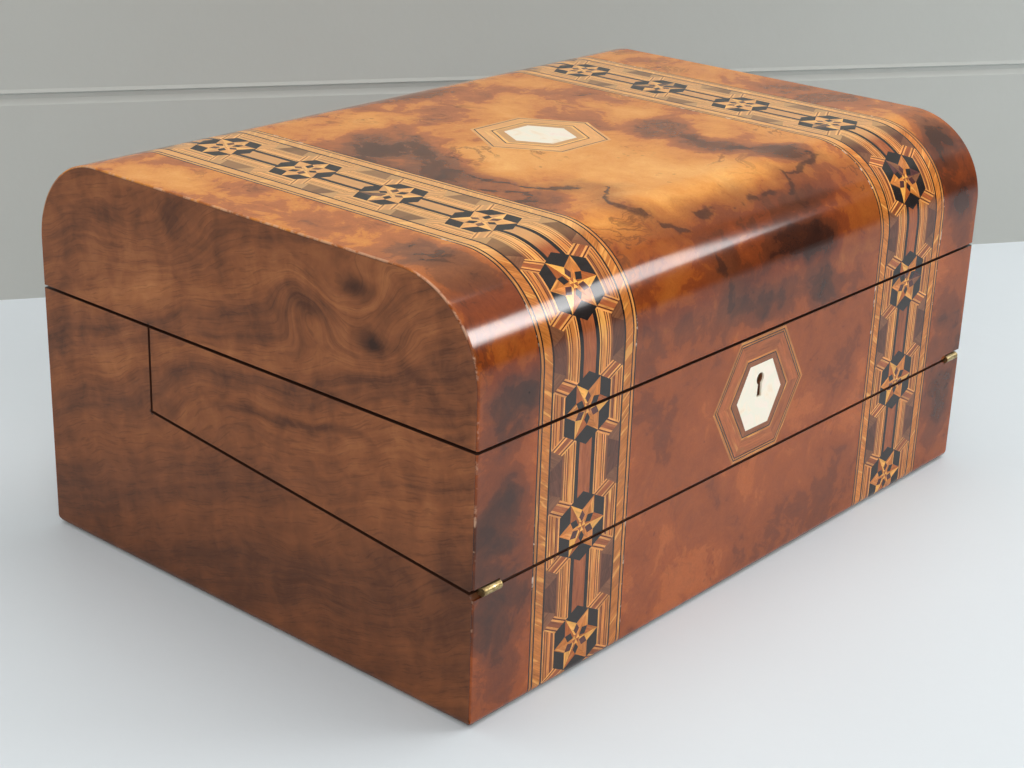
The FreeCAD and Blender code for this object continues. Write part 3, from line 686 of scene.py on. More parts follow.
def inlaid_wood(name):
    """Tiles of many woods, each with its own colour, grain and pores, with painted sheen on top."""
    g = Graph(name)
    tint = g.node("Attribute", attribute_name="tint").outputs["Color"]
    uv = g.plane_uv()
    stretched = g.warp(g.drawn_out(uv, 0.10), 0.0006, 300.0)
    streak = g.noise(stretched, 1400.0, 4.0, 0.65)
    broad = g.noise(stretched, 260.0, 2.0)
    shade = g.plus(g.times(streak, 0.75), g.times(broad, 0.5))
    grey = g.ramp(shade, (0.40, (0.50, 0.47, 0.45)), (0.85, (1.25, 1.25, 1.25)))
    colour = g.mix(1.0, tint, grey, "MULTIPLY")
    pore = g.fade(g.noise(stretched, 3200.0, 2.0), 0.36, 0.30)
    colour = g.paint(colour, (28, 14, 9), pore, 0.35)
    pale = g.fade(g.split(tint)[0], 0.35, 0.60)
    flash = g.fade(g.noise(stretched, 380.0, 2.0, 0.5, 0.6), 0.57, 0.66)
    colour = g.paint(colour, (250, 186, 96), flash, pale, 0.55)
    place = g.object_place()
    x, _, z = g.split(place)
    # Painted sheen: on the lid's top all but the darkest tiles are lightened, as light glances off it.
    top_sheen = g.fade(z, (HEIGHT - 4.0) * MM, (HEIGHT - 0.3) * MM)
    top_sheen = g.times(top_sheen, g.fade(g.split(tint)[0], 0.03, 0.26))
    colour = g.paint(colour, (252, 200, 130), top_sheen, 0.46)
    off = g.absolute(g.minus(g.absolute(x), BAND_MIDDLE * MM))
    rim = g.fade(g.absolute(g.minus(off, (BAND_HALF - 0.4) * MM)), 0.0006, 0.0004)
    crumbs = g.fade(g.noise(place, 260.0, 3.0, 0.7), 0.55, 0.62)
    crumbs = g.times(crumbs, g.fade(g.noise(place, 24.0, 2.0), 0.50, 0.60))
    colour = g.paint(colour, (222, 204, 184), rim, crumbs, 0.75)
    # Dark polish and painted shade on the walls of the gaps.
    colour = g.mix(g.polish_and_shade_mask(place), colour, GAP_POLISH_AND_SHADE)
    roughness = g.fade(streak, 0.3, 0.7, 0.28, 0.40)
    return g.finish({"Base Color": colour, "Roughness": roughness, **POLISH}, streak, 0.00003)


# Figure of the ends, in mm from front to back and up: where its lines swell round the knots, with
# the shift in metres, and smudges that are given as the clouds are.
SWELLS = (
    ((-63, 157), (34, 18), 0.016), ((-73, 139), (30, 17), 0.017), ((-39, 144), (26, 18), -0.017),
    ((50, 150), (50, 26), 0.012), ((20, 92), (70, 30), -0.012), ((-60, 40), (80, 30), 0.010),
)
SMUDGES = (
    ((-28, 96), (76, 4), -9, -0.12), ((-73, 139), (13, 7), 0, -0.20), ((-39, 144), (11, 7), 0, -0.16),
    ((-63, 157), (14, 8), 0, -0.18), ((-100, 128), (30, 7), 40, -0.08), ((10, 140), (60, 6), -14, -0.05),
    ((70, 134), (70, 40), 0, 0.10), ((76, 92), (44, 20), 0, 0.08), ((60, 46), (90, 34), 0, 0.05),
    ((-117, 90), (18, 110), 0, -0.09),
)


def figured_walnut():
    """Satin figured walnut of the box's ends, its lines swirling round three knots in the lid."""
    g = Graph("figured_walnut")
    place = g.object_place()
    x, y, z = g.split(place)
    flat = g.warp(g.join(y, z, g.times(x, 0.2)), 0.020, 14.0, 3.0)
    flat = g.warp(flat, 0.004, 60.0, 3.0)
    wy, wz, _ = g.split(flat)
    contour = g.plus(wz, g.times(wy, 0.33))
    for centre, radii, push in SWELLS:
        contour = g.plus(contour, g.times(g.blob(flat, centre, radii, soft=1.0), push))
    lines = g.join(contour, g.times(wy, 0.06), g.times(x, 0.4))
    broad = g.noise(lines, 46.0, 3.0, 0.5)
    fine = g.noise(lines, 300.0, 4.0, 0.62)
    ripple = g.noise(g.join(wy, g.times(wz, 0.35)), 70.0, 3.0)
    low = g.fade(z, 0.110, 0.030)
    blotch = g.noise(flat, 95.0, 4.0, 0.6, 0.5)
    tone = g.plus(g.times(broad, 0.40), g.times(fine, 0.20), g.times(g.minus(blotch, 0.40), 0.22),
                  g.times(ripple, 0.20))
    calm = g.plus(1.25, g.times(low, -0.55))
    tone = g.plus(0.50, g.times(g.minus(tone, 0.43), calm), g.times(low, -0.090))
    smudge = g.warp(g.join(y, z), 0.014, 40.0, 4.0)
    for centre, radii, turn, push in SMUDGES:
        tone = g.plus(tone, g.times(g.blob(smudge, centre, radii, turn, 1.0), push))
    colour = g.ramp(tone, (0.24, srgb(54, 29, 17)), (0.37, srgb(96, 55, 32)), (0.50, srgb(136, 80, 46)),
                    (0.64, srgb(166, 103, 61)), (0.85, srgb(196, 131, 80)))
    pores = g.noise(g.join(contour, g.times(wy, 0.08), x), 1300.0, 2.0)
    colour = g.paint(colour, (50, 27, 16), g.fade(pores, 0.44, 0.34), 0.25)
    # Dark polish and painted shade on the walls of the gaps.
    colour = g.mix(g.polish_and_shade_mask(place), colour, GAP_POLISH_AND_SHADE)
    roughness = g.fade(broad, 0.3, 0.7, 0.42, 0.54)
    height = g.plus(g.times(pores, 0.3), g.noise(place, 30.0, 2.0))
    return g.finish({"Base Color": colour, "Roughness": roughness, "Specular IOR Level": 0.20,
                     "Coat Weight": 0.10, "Coat Roughness": 0.26}, height, 0.00018)


def plain_wood(name, dark, light, scale=1.0):
    """Straight-grained wood, its grain along X."""
    g = Graph(name)
    place = g.object_place()
    stretched = g.drawn_out(g.warp(place, 0.004, 30.0), 0.06)
    streak = g.noise(stretched, 240.0 * scale, 5.0, 0.6, 0.2)
    colour = g.ramp(streak, (0.30, dark), (0.50, tuple((a + b) / 2 for a, b in zip(dark, light))),
                    (0.72, light))
    pore = g.fade(g.noise(stretched, 1800.0, 2.0), 0.38, 0.32)
    colour = g.mix(g.times(pore, 0.5), colour, tuple(c * 0.35 for c in dark))
    # Dark polish and painted shade on the walls of the gaps.
    colour = g.mix(g.polish_and_shade_mask(place), colour, GAP_POLISH_AND_SHADE)
    roughness = g.fade(streak, 0.3, 0.7, 0.38, 0.50)
    return g.finish({"Base Color": colour, "Roughness": roughness, "Specular IOR Level": 0.4,
                     "Coat Weight": 0.15, "Coat Roughness": 0.25}, streak, 0.00006)


def mother_of_pearl():
    """Cream pearl shell with a faint play of pink and green."""
    g = Graph("mother_of_pearl")
    place = g.object_place()
    swirl = g.warp(place, 0.010, 60.0, 3.0)
    layers = g.noise(swirl, 70.0, 4.0, 0.55, 1.0)
    colour = g.ramp(layers, (0.30, srgb(250, 228, 196)), (0.42, srgb(255, 242, 220)),
                    (0.50, srgb(248, 242, 222)), (0.58, srgb(255, 242, 224)), (0.72, srgb(254, 230, 214)))
    dirt = g.fade(g.noise(place, 420.0, 3.0, 0.7), 0.66, 0.76)
    colour = g.paint(colour, (170, 136, 106), dirt, 0.20)
    return g.finish({"Base Color": colour, "Roughness": 0.24, "Specular IOR Level": 0.5,
                     "Coat Weight": 0.5, "Coat Roughness": 0.10}, layers, 0.00002)


def aged_brass():
    """Brass gone brown in patches, with fine scratches."""
    g = Graph("aged_brass")
    place = g.object_place()
    patch = g.noise(place, 260.0, 4.0, 0.65)
    colour = g.ramp(patch, (0.32, srgb(112, 92, 60)), (0.50, srgb(184, 162, 114)),
                    (0.72, srgb(228, 212, 170)))
    scratches = g.noise(g.drawn_out(place, 0.1), 3000.0, 2.0)
    roughness = g.fade(patch, 0.3, 0.7, 0.46, 0.26)
    return g.finish({"Base Color": colour, "Metallic": 1.0, "Roughness": roughness},
                    g.plus(g.times(scratches, 0.3), patch), 0.00008)


# Each gilt line's distance from the edge of the leather and half of its width, in metres.
GILT_LINES = ((0.0075, 0.0005), (0.0125, 0.0003), (0.0095, 0.0002))


def leather(name, ground, border):
    """Tooled leather: fine grain, and gilt lines round the edge of each flap."""
    g = Graph(name)
    place = g.object_place()
    x, y, _ = g.split(place)
    cells = g.node("TexVoronoi", {"Vector": g.warp(place, 0.0012, 900.0), "Scale": 1300.0},
                   feature="DISTANCE_TO_EDGE").outputs["Distance"]
    crease = g.fade(cells, 0.16, 0.02)
    patch = g.noise(place, 22.0, 5.0, 0.6)
    colour = g.ramp(patch, (0.30, tuple(c * 0.62 for c in ground)), (0.55, ground),
                    (0.75, tuple(min(c * 1.5, 1) for c in ground)))
    colour = g.mix(g.times(crease, 0.5), colour, tuple(c * 0.35 for c in ground))
    if border:
        x_low, x_high, y_low, y_high = border
        inset = g.smaller(g.minus(x, x_low), g.minus(x_high, x), g.minus(y, y_low), g.minus(y_high, y))
        gilt = g.larger(*[g.fade(g.absolute(g.minus(inset, middle)), half, half * 0.6)
                          for middle, half in GILT_LINES])
        worn = g.fade(g.noise(place, 160.0, 4.0, 0.7), 0.40, 0.52)
        colour = g.paint(colour, (206, 164, 84), gilt, worn)
    height = g.minus(g.times(patch, 0.4), crease)
    return g.finish({"Base Color": colour, "Roughness": 0.46, "Specular IOR Level": 0.4},
                    height, 0.00012)


def ink_glass():
    """Thick greenish-white glass with ink stains low down."""
    g = Graph("ink_glass")
    place = g.object_place()
    stain = g.fade(g.noise(place, 90.0, 4.0, 0.6), 0.52, 0.68)
    colour = g.mix(g.times(stain, 0.35), srgb(226, 236, 232), srgb(70, 84, 110))
    roughness = g.fade(g.noise(place, 200.0, 3.0), 0.3, 0.7, 0.03, 0.10)
    return g.finish({"Base Color": colour, "Roughness": roughness, "IOR": 1.5,
                     "Transmission Weight": 0.85})


WOODS = {
    "ebony": srgb(34, 27, 26),
    "boxwood": srgb(206, 124, 52),
    "boxwood_light": srgb(240, 172, 80),
    "boxwood_dark": srgb(176, 92, 36),
    "satinwood": srgb(210, 130, 62),
    "mahogany": srgb(160, 86, 46),
    "mahogany_dark": srgb(104, 44, 28),
    "tulipwood": srgb(170, 92, 46),
    "kingwood": srgb(100, 58, 40),
    "kingwood_light": srgb(128, 80, 52),
    "purpleheart": srgb(86, 48, 46),
    "string_dark": srgb(46, 26, 18),
    "string_light": srgb(228, 154, 82),
    "string_gold": srgb(196, 124, 60),
    "teak": srgb(146, 86, 50),
}


# ---- The parquetry pattern ----

FIELD = 20.4
PITCH = 48.8
FIRST_LEFT = 14.2
FIRST_RIGHT = 9.6
BAND_BORDER = (("string_dark", 0.7, 90), ("string_gold", 1.25, 90), ("string_dark", 0.75, 90),
               ("boxwood", 4.3, 36), ("string_dark", 1.0, 90))
STEMS = (("string_light", 0.6), ("mahogany_dark", 0.55), ("string_light", 1.0), ("satinwood", 2.0),
         ("mahogany_dark", 0.5), ("string_light", 0.7), ("mahogany_dark", 0.5), ("string_light", 0.7),
         ("teak", 1.2))
LADDER = (("string_light", 0.10), ("mahogany_dark", 0.09), ("string_light", 0.13), ("mahogany", 0.34),
          ("string_light", 0.13), ("mahogany_dark", 0.09), ("string_light", 0.12))
SIDE_STRINGS = (("string_light", 0.10), ("mahogany_dark", 0.07), ("satinwood", 0.16),
                ("mahogany_dark", 0.06), ("satinwood", 0.26), ("mahogany_dark", 0.07),
                ("teak", 0.16), ("string_light", 0.12))
BAR = 3.6
BAR_LINE = 5.75
STEM_END = 13.9
MEDALLION_HALF = 13.4
MEDALLION_SHOULDER = 7.7
MEDALLION_TIP = 14.7
LADDER_END = (6.0, 11.6)
LADDER_FAR_OUT = 11.4
LADDER_FAR_IN = 15.4
KINGWOOD_JOINT_OUT = 19.6
KINGWOOD_JOINT_IN = 16.6
NOTCH_TIP = 6.9
KITE_HALF = 1.7
KITE_START, KITE_WIDEST, KITE_END = 0.28, 0.62, 0.98
HUB_R = 2.3
ODD_CHANCE = 0.45


def hexagon(size, centre):
    """A hexagon with its points to left and right."""
    tip, flat, height = size
    points = [(tip, 0), (flat, height), (-flat, height), (-tip, 0), (-flat, -height), (flat, -height)]
    return [(u, s + centre) for u, s in points]


def standing_hexagon(half, shoulder, tip):
    """A hexagon round the origin with its points up and down."""
    return [(half, shoulder), (0.0, tip), (-half, shoulder), (-half, -shoulder), (0.0, -tip),
            (half, -shoulder)]


MEDALLION = standing_hexagon(MEDALLION_HALF, MEDALLION_SHOULDER, MEDALLION_TIP)
STAR_TIPS = hexagon((MEDALLION_HALF, 7.0, 10.9), 0.0)
NOTCHES = standing_hexagon(7.0, 3.5, NOTCH_TIP)


def between(a, b, fraction):
    """The point a fraction of the way from a to b."""
    return a[0] + (b[0] - a[0]) * fraction, a[1] + (b[1] - a[1]) * fraction


def heading(a, b):
    """Angle of the line from a to b, in degrees."""
    return math.degrees(math.atan2(b[1] - a[1], b[0] - a[0]))


def runs(strips, start=0.0):
    """Each strip's wood in a row of strips, with where the strip starts and ends."""
    for wood, width in strips:
        end = start + width
        yield wood, start, end
        start = end


class Band:
    """Draws the parquetry into a panel, round a middle line and from a first medallion."""

    def __init__(self, panel, middle, first, seed):
        self.panel = panel
        self.middle = middle
        self.first = first
        self.random = random.Random(seed)

    def lay(self, points, wood, grain=90.0, at=0.0):
        """Lay one tile, its points relative to the middle line and to the height at."""
        self.panel.inlay([(self.middle + t, s + at) for t, s in points], wood, grain)

    def draw(self):
        """The whole pattern, from the edge lines inwards and the medallions last."""
        low = min(s for _, s in self.panel.outline)
        high = max(s for _, s in self.panel.outline)
        for side in (-1, 1):
            self.draw_border(side, low, high)
            self.draw_stems(side, low, high)
        self.lay(rectangle(-BAR_LINE, BAR_LINE, low, high), "ebony")
        self.lay(rectangle(-BAR, BAR, low, high), "mahogany")
        first = math.floor((low - self.first) / PITCH) - 1
        last = math.ceil((high - self.first) / PITCH) + 1
        for repeat in range(first, last + 1):
            centre = self.first + repeat * PITCH
            if low - PITCH / 2 < centre < high + PITCH / 2:
                self.draw_repeat(centre)

    def draw_border(self, side, low, high):
        """The lines and the gold string along one edge."""
        edge = BAND_HALF
        for wood, width, grain in BAND_BORDER:
            inner = edge - width
            self.lay(rectangle(*sorted((side * inner, side * edge)), low, high), wood,
                     grain if side > 0 else 180 - grain)
            edge = inner

    def draw_stems(self, side, low, high):
        """Upright strings between the bar and the kingwood."""
        for wood, inner, outer in runs(STEMS, BAR_LINE):
            self.lay(rectangle(*sorted((side * inner, side * outer)), low, high), wood)

    def draw_repeat(self, centre):
        """One medallion with its ladders and the kingwood round it."""
        for side in (-1, 1):
            for way in (-1, 1):
                self.draw_corner(centre, side, way)
            self.draw_side_strings(centre, side)
        self.draw_medallion(centre)

    def draw_corner(self, centre, side, way):
        """A ladder from one slanting edge of the medallion, and the kingwood beyond it."""
        near_a = (side * MEDALLION_HALF, way * MEDALLION_SHOULDER)
        near_b = (side * LADDER_END[0], way * LADDER_END[1])
        far_a = (side * FIELD, way * LADDER_FAR_OUT)
        far_b = (side * STEM_END, way * LADDER_FAR_IN)
        wide = (side * FIELD, way * KINGWOOD_JOINT_OUT)
        narrow = (side * STEM_END, way * KINGWOOD_JOINT_IN)
        half_pitch = way * PITCH / 2
        self.lay([far_a, far_b, narrow, wide], "kingwood_light", 90 + side * way * 58, centre)
        self.lay([wide, narrow, (side * STEM_END, half_pitch), (side * FIELD, half_pitch)],
                 "kingwood", 90 - side * 20, centre)
        for wood, start, end in runs(LADDER):
            self.lay([between(near_a, near_b, start), between(near_a, near_b, end),
                      between(far_a, far_b, end), between(far_a, far_b, start)],
                     wood, heading(near_a, far_a), centre)

    def draw_side_strings(self, centre, side):
        """Upright strings beside the medallion, given as shares of the way in from the field's edge."""
        width = FIELD - MEDALLION_HALF
        rise = (LADDER_FAR_OUT - MEDALLION_SHOULDER) / width
        for wood, start, end in runs(SIDE_STRINGS):
            outer, inner = FIELD - width * start, FIELD - width * end
            high_outer = MEDALLION_SHOULDER + (outer - MEDALLION_HALF) * rise
            high_inner = MEDALLION_SHOULDER + (inner - MEDALLION_HALF) * rise
            self.lay([(side * outer, high_outer), (side * inner, high_inner),
                      (side * inner, -high_inner), (side * outer, -high_outer)], wood, 90, centre)

    def draw_medallion(self, centre):
        """A six-pointed star of split kites on an ebony hexagon."""
        self.lay(MEDALLION, "ebony", 60, centre)
        odd = self.random.random() < ODD_CHANCE
        swap = self.random.random() < 0.5
        for index, tip in enumerate(STAR_TIPS):
            before, after = NOTCHES[index - 1], NOTCHES[index]
            strong = (index % 2 == 0) != swap
            light, dark = ("boxwood_light", "boxwood_dark") if strong else ("boxwood", "satinwood")
            if odd and index == self.random.randrange(6):
                light, dark = "kingwood_light", "purpleheart"
            self.lay([(0, 0), before, tip], light, heading(before, tip), centre)
            self.lay([(0, 0), tip, after], dark, heading(tip, after), centre)
        for index, notch in enumerate(NOTCHES):
            across = (-notch[1] / NOTCH_TIP * KITE_HALF, notch[0] / NOTCH_TIP * KITE_HALF)
            middle = between((0, 0), notch, KITE_WIDEST)
            wood = ("ebony", "purpleheart")[(index + swap) % 2]
            self.lay([between((0, 0), notch, KITE_START), (middle[0] + across[0], middle[1] + across[1]),
                      between((0, 0), notch, KITE_END), (middle[0] - across[0], middle[1] - across[1])],
                     wood, 60 * index, centre)
        for index in range(6):
            a = math.radians(60 * index)
            b = math.radians(60 * index + 60)
            wood = ("boxwood_light", "mahogany")[index % 2]
            self.lay([(0, 0), (HUB_R * math.cos(a), HUB_R * math.sin(a)),
                      (HUB_R * math.cos(b), HUB_R * math.sin(b))], wood, 60 * index, centre)


# ---- Building the outside ----

BAND_IN = BAND_MIDDLE - BAND_HALF
BAND_OUT = BAND_MIDDLE + BAND_HALF
FRAME = (33.2, 16.4, 27.2)
PEARL = (16.2, 8.1, 14.3)
PLAQUE_RINGS = ((1.0, "string_gold", 0), (0.95, "string_dark", 0), (0.93, "satinwood", 0),
                (0.70, "string_dark", 0), (0.68, "boxwood_light", 0), (0.63, "teak", 1))
ESCUTCHEON_RINGS = ((1.0, "string_gold", 0), (0.955, "string_dark", 0), (0.938, "string_gold", 0),
                    (0.915, "string_dark", 0), (0.898, "tulipwood", 0), (0.66, "string_gold", 0),
                    (0.625, "string_dark", 0), (0.608, "teak", 0))
FOLD_ROOM = 2.2
LID_ROOM = 2.75
FOLD_NOTCH_X = 163.25
LID_NOTCH_X = (49.25, 74.75)
ESCUTCHEON_S = 84.0
SPANS = ((-EDGE_U, -BAND_OUT), (-BAND_IN, BAND_IN), (BAND_OUT, EDGE_U))


def leave_out(panel, u0, u1, s0, s1):
    """Leave an upright rectangle out of a panel, with u0 and u1 in either order."""
    panel.inlay(rectangle(*sorted((u0, u1)), s0, s1), None)


def cut_notches(panel):
    """Leave out the notches of the hinges and, in steps, the rounded corners of the foot."""
    hinge_s = rear_s(LID_JOINT_Z)
    for side in (-1, 1):
        outer = side * (EDGE_U + 1)
        near, far = side * LID_NOTCH_X[0], side * LID_NOTCH_X[1]
        leave_out(panel, outer, side * FOLD_NOTCH_X, FOLD_FRONT_Z - FOLD_ROOM, FOLD_FRONT_Z + FOLD_ROOM)
        leave_out(panel, near, far, hinge_s - LID_ROOM, hinge_s + LID_ROOM)
        for step in range(FOOT_STEPS):
            low = FOOT_START + step * FOOT_STEP
            high = FOOT_START + (step + 1) * FOOT_STEP
            reach = HALF_W - FOOT_R + math.sqrt(FOOT_R ** 2 - (FOOT_R - low) ** 2)
            for start, end in ((low - FOOT_LAP, high), (rear_s(high), rear_s(low) + FOOT_LAP)):
                leave_out(panel, side * reach, outer, start, end)


def burr_leaves(name, body, low, high, spans, holes, material, *replaced):
    """The burr veneer of one body between two heights."""
    veneer = Veneer(name, seed=1)
    for u0, u1 in spans:
        panel = Panel(rectangle(u0, u1, low, high), "burr")
        for hole in holes:
            panel.inlay(hole, None)
        cut_notches(panel)
        veneer.add(panel, None)
    return veneer.build(body, "burr_walnut", material, *replaced)


def inlaid_bands(name, body, low, high, material, *replaced):
    """Both parquetry bands of one body."""
    veneer = Veneer(name, seed=7)
    for side, first in ((-1, FIRST_LEFT), (1, FIRST_RIGHT)):
        middle = side * BAND_MIDDLE
        panel = Panel(rectangle(middle - BAND_HALF, middle + BAND_HALF, low, high), "kingwood")
        Band(panel, middle, first, seed=20 + side).draw()
        veneer.add(panel, WOODS)
    return veneer.build(body, "parquetry", material, *replaced)


def hexagon_frame(name, body, centre, rings, material, *replaced):
    """The strings and crossbanding round a pearl plaque, mitred at the corners."""
    veneer = Veneer(name, seed=3)
    panel = Panel(hexagon(FRAME, centre), "string_dark")
    sizes = [tuple(value * share for value in FRAME) for share, _, _ in rings] + [PEARL]
    for (_, wood, crossed), outer, inner in zip(rings, sizes, sizes[1:]):
        ring_out, ring_in = hexagon(outer, centre), hexagon(inner, centre)
        for i in range(6):
            a, b = ring_out[i], ring_out[(i + 1) % 6]
            c, d = ring_in[(i + 1) % 6], ring_in[i]
            panel.inlay([a, b, c, d], wood, heading(a, b) + 90 * crossed)
    panel.inlay(hexagon(PEARL, centre), None)
    veneer.add(panel, WOODS)
    return veneer.build(body, "parquetry", material, *replaced)


BURR = burr_walnut()
INLAY = inlaid_wood("parquetry")
PLAQUE_S = OUTLINE / 2

burr_leaves("base_front_burr", "box_base", FOOT_START, BASE_TOP, SPANS, [], BURR, "base_front_veneer")
burr_leaves("wedge_front_burr", "slope_wedge", WEDGE_LOW.z, WEDGE_HIGH.z, SPANS,
            [hexagon(FRAME, ESCUTCHEON_S)], BURR, "wedge_front_veneer")
burr_leaves("lid_burr", "lid", LID_LOW.z, rear_s(LID_LOW.z), SPANS,
            [hexagon(FRAME, PLAQUE_S)], BURR, "lid_veneer")
burr_leaves("base_rear_burr", "box_base", rear_s(WEDGE_HIGH.z), rear_s(FOOT_START), [(-EDGE_U, EDGE_U)],
            [], BURR, "base_rear_veneer")
inlaid_bands("base_inlaid_bands", "box_base", FOOT_START, BASE_TOP, INLAY, "base_front_bands")
inlaid_bands("wedge_inlaid_bands", "slope_wedge", WEDGE_LOW.z, WEDGE_HIGH.z, INLAY, "wedge_front_bands")
inlaid_bands("lid_inlaid_bands", "lid", LID_LOW.z, rear_s(LID_LOW.z), INLAY, "lid_bands")
hexagon_frame("escutcheon_inlaid_frame", "slope_wedge", ESCUTCHEON_S, ESCUTCHEON_RINGS, INLAY,
              "escutcheon_frame")
hexagon_frame("plaque_inlaid_frame", "lid", PLAQUE_S, PLAQUE_RINGS, INLAY, "plaque_frame")


# ---- Finishes of the CAD pieces that stay ----

def flap_border():
    """Outline of the writing flaps, in metres."""
    low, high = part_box("lower_flap_skin")
    return low.x, high.x, low.y, high.y


FIGURED = figured_walnut()
CARCASS = plain_wood("carcass_wood", srgb(84, 46, 28), srgb(142, 88, 54))
INNER_RED = plain_wood("inner_mahogany", srgb(84, 36, 22), srgb(136, 68, 42), 1.4)
PEARL_SHELL = mother_of_pearl()
BRASS = aged_brass()
FLAP_SKIN = leather("writing_skin", srgb(98, 36, 42), flap_border())
LINING = leather("lining", srgb(104, 34, 42), None)
GLASS = ink_glass()

SIDES = ("left", "right")
FINISHES = (
    (FIGURED, [f"{body}_{side}_end" for body in ("base", "wedge", "lid") for side in SIDES]),
    (PEARL_SHELL, ("escutcheon_pearl", "plaque_pearl")),
    (BRASS, ("fold_hinge_base_leaves", "fold_hinge_wedge_leaves", "fold_hinge_pins",
             "lid_hinge_base_leaves", "lid_hinge_lid_leaves", "lid_hinge_pins", "base_hinge_screws",
             "wedge_hinge_screws", "lid_hinge_screws", "lock_case", "lock_bolt", "link_plate")),
    (BRASS, [f"{side}_inkwell_{part}" for side in SIDES for part in ("collar", "cap")]),
    (FLAP_SKIN, ("lower_flap_skin", "upper_flap_skin")),
    (LINING, ("lid_lining",)),
    (GLASS, [f"{side}_inkwell_glass" for side in SIDES]),
    (INNER_RED, ("pen_tray", "letter_rack_front", "letter_rack_middle", "letter_rack_rear",
                 "bay_dividers", "riser_board", "compartment_packing", "compartment_floor")),
)


def finish_nodes():
    """Give every CAD node that shows its finish; what is left is carcass wood."""
    chosen = {name: material for material, names in FINISHES for name in names}
    for name, node in NODES.items():
        material = chosen.get(name, CARCASS)
        for slot in node.material_slots:
            slot.link = "OBJECT"
            slot.material = material


finish_nodes()


# ---- Table, wall, light and camera ----

WALL_TURN = -33.23
WALL_AWAY = 0.317
WALL_GROOVE_Z = 0.121
WALL_TOP = 1.6
STAGE_REACH = 5.0
# The groove's outline: depth into the wall, and height from the groove's middle.
GROOVE = ((0.0, -0.0042), (0.0018, -0.0008), (0.0016, 0.0016), (-0.0006, 0.0030), (0.0, 0.0050))
# The camera's angles in degrees, and its target and its distance from it in metres.
CAMERA_AZIMUTH, CAMERA_ELEVATION, CAMERA_ROLL = -49.594, 21.701, 1.993
CAMERA_TARGET = (-0.0208, -0.0063, 0.0606)
CAMERA_AWAY = 0.8638


def painted(name, colour, roughness, mottle, one_sided=False):
    """Matt paint with a faint mottle. One-sided, it is clear from behind and so blocks no view."""
    g = Graph(name)
    place = g.object_place()
    shade = g.ramp(g.noise(place, 3.0, 3.0, 0.5), (0.3, tuple(c * (1 - mottle) for c in colour)),
                   (0.7, tuple(min(c * (1 + mottle), 1) for c in colour)))
    material = g.finish({"Base Color": shade, "Roughness": roughness, "Specular IOR Level": 0.3},
                        g.noise(place, 160.0, 3.0), 0.0001)
    if one_sided:
        surface = g.output.inputs[0].links[0].from_socket
        clear = g.node("BsdfTransparent").outputs[0]
        behind = g.node("NewGeometry").outputs["Backfacing"]
        seen = g.node("MixShader", {0: behind, 1: surface, 2: clear}).outputs[0]
        g.feed(g.output.inputs[0], seen)
    return material


def stage_mesh(name, points, faces, material):
    """A floor or wall that isn't part of the box."""
    mesh = bpy.data.meshes.new(name)
    mesh.from_pydata(points, [], faces)
    mesh.materials.append(material)
    piece = add_object(name, mesh)


def build_stage():
    """A pale table and, behind it, a grey boarded wall with one shallow groove."""
    table = painted("table_paint", srgb(211, 219, 225), 0.42, 0.015)
    wall = painted("wall_paint", srgb(184, 187, 183), 0.7, 0.03, one_sided=True)
    square = [(x, y, 0) for x, y in rectangle(-STAGE_REACH, STAGE_REACH, -STAGE_REACH, STAGE_REACH)]
    stage_mesh("table_top", square, [(0, 1, 2, 3)], table)
    groove = [(depth, WALL_GROOVE_Z + height) for depth, height in GROOVE]
    outline = [(0.0, 0.0), *groove, (0.0, WALL_TOP)]
    turn = math.radians(WALL_TURN)
    along = Vector((math.cos(turn), math.sin(turn), 0))
    away = Vector((-math.sin(turn), math.cos(turn), 0))
    points = []
    for depth, z in outline:
        for end in (-STAGE_REACH, STAGE_REACH):
            points.append(along * end + away * (WALL_AWAY + depth) + Vector((0, 0, z)))
    faces = [(2 * i, 2 * i + 1, 2 * i + 3, 2 * i + 2) for i in range(len(outline) - 1)]
    stage_mesh("back_wall", points, faces, wall)


def area_light(name, location, target, size, power, colour=(1, 1, 1)):
    """A rectangular soft light pointing at a target."""
    light = bpy.data.lights.new(name, "AREA")
    light.shape = "RECTANGLE"
    light.size, light.size_y = size
    light.energy = power
    light.color = colour
    piece = add_object(name, light)
    piece.location = location
    direction = Vector(target) - Vector(location)
    piece.rotation_euler = direction.to_track_quat("-Z", "Y").to_euler()
    return piece


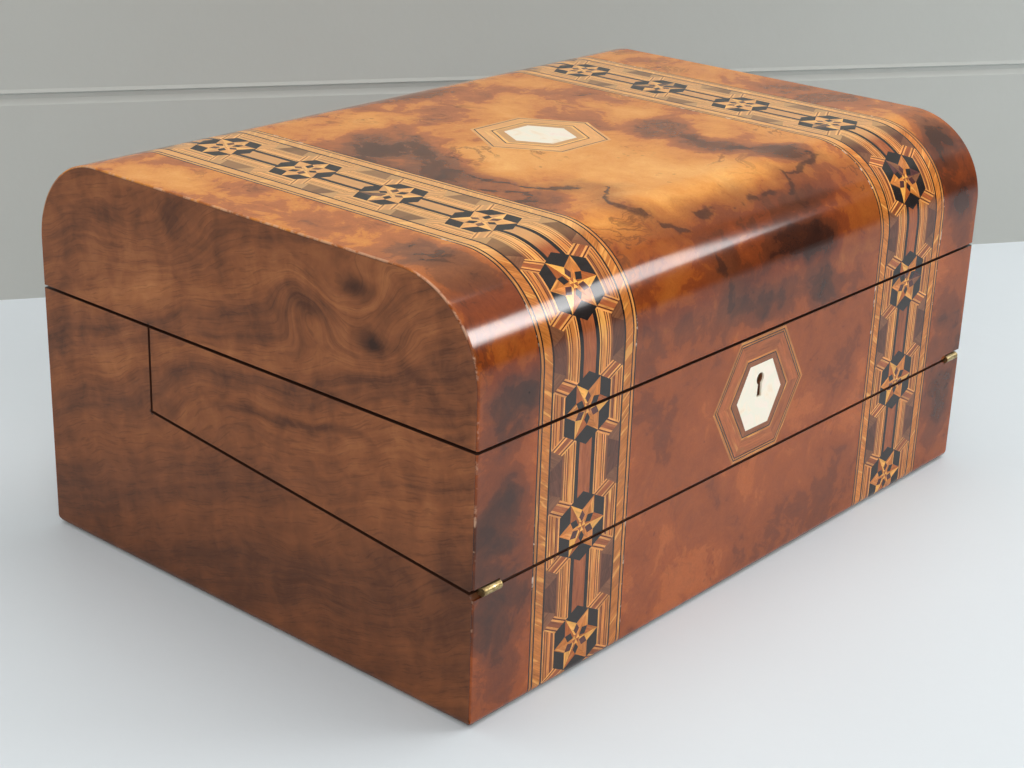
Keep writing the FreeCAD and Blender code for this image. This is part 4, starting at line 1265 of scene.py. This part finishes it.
def build_lights():
    """A soft ceiling light, two lights for the highlight on the lid's front, and a fill.

    The gleam adds gloss only.
    """
    world = bpy.data.worlds.new("studio")
    bpy.context.scene.world = world
    world.use_nodes = True
    tree = world.node_tree
    place = tree.nodes.new("ShaderNodeTexCoord")
    axes = tree.nodes.new("ShaderNodeSeparateXYZ")
    ramp = tree.nodes.new("ShaderNodeValToRGB")
    tree.links.new(place.outputs["Generated"], axes.inputs[0])
    tree.links.new(axes.outputs[2], ramp.inputs[0])
    tree.links.new(ramp.outputs[0], tree.nodes["Background"].inputs[0])
    ramp.color_ramp.elements[0].position = 0.34
    ramp.color_ramp.elements[0].color = (0.17, 0.17, 0.175, 1.0)
    ramp.color_ramp.elements[1].position = 0.62
    ramp.color_ramp.elements[1].color = (1.0, 0.985, 0.96, 1.0)
    tree.nodes["Background"].inputs[1].default_value = 0.80
    area_light("ceiling", (0.5, 0.3, 1.9), (0, 0, 0), (2.4, 1.6), 44.0, (1.0, 0.98, 0.95))
    area_light("strip", (1.36, -1.31, 0.97), (-0.1, -0.1, 0.15), (0.68, 0.34), 9.0)
    gleam = area_light("gleam", (1.21, -1.44, 0.965), (-0.1, -0.1, 0.15), (0.42, 0.50), 6.5)
    gleam.visible_diffuse = False
    area_light("fill", (-1.7, -1.5, 1.2), (0, 0, 0.05), (1.6, 1.2), 23.0, (1.0, 0.97, 0.93))


def build_camera():
    """The main camera, in front of the box's left corner."""
    azimuth, elevation, roll = map(math.radians, (CAMERA_AZIMUTH, CAMERA_ELEVATION, CAMERA_ROLL))
    back = Vector((math.sin(azimuth) * math.cos(elevation), -math.cos(azimuth) * math.cos(elevation),
                   math.sin(elevation)))
    right = (-back).cross(Vector((0, 0, 1))).normalized()
    up = right.cross(-back)
    x_axis = right * math.cos(roll) + up * math.sin(roll)
    y_axis = up * math.cos(roll) - right * math.sin(roll)
    data = bpy.data.cameras.new("camera")
    data.lens = 66.8
    data.sensor_width = 36.0
    data.clip_start = 0.05
    data.clip_end = 30.0
    camera = add_object("camera", data)
    matrix = Matrix((x_axis, y_axis, back)).transposed().to_4x4()
    matrix.translation = Vector(CAMERA_TARGET) + back * CAMERA_AWAY
    camera.matrix_world = matrix
    bpy.context.scene.camera = camera


build_stage()
build_lights()
build_camera()
bpy.context.scene.view_settings.view_transform = "Standard"
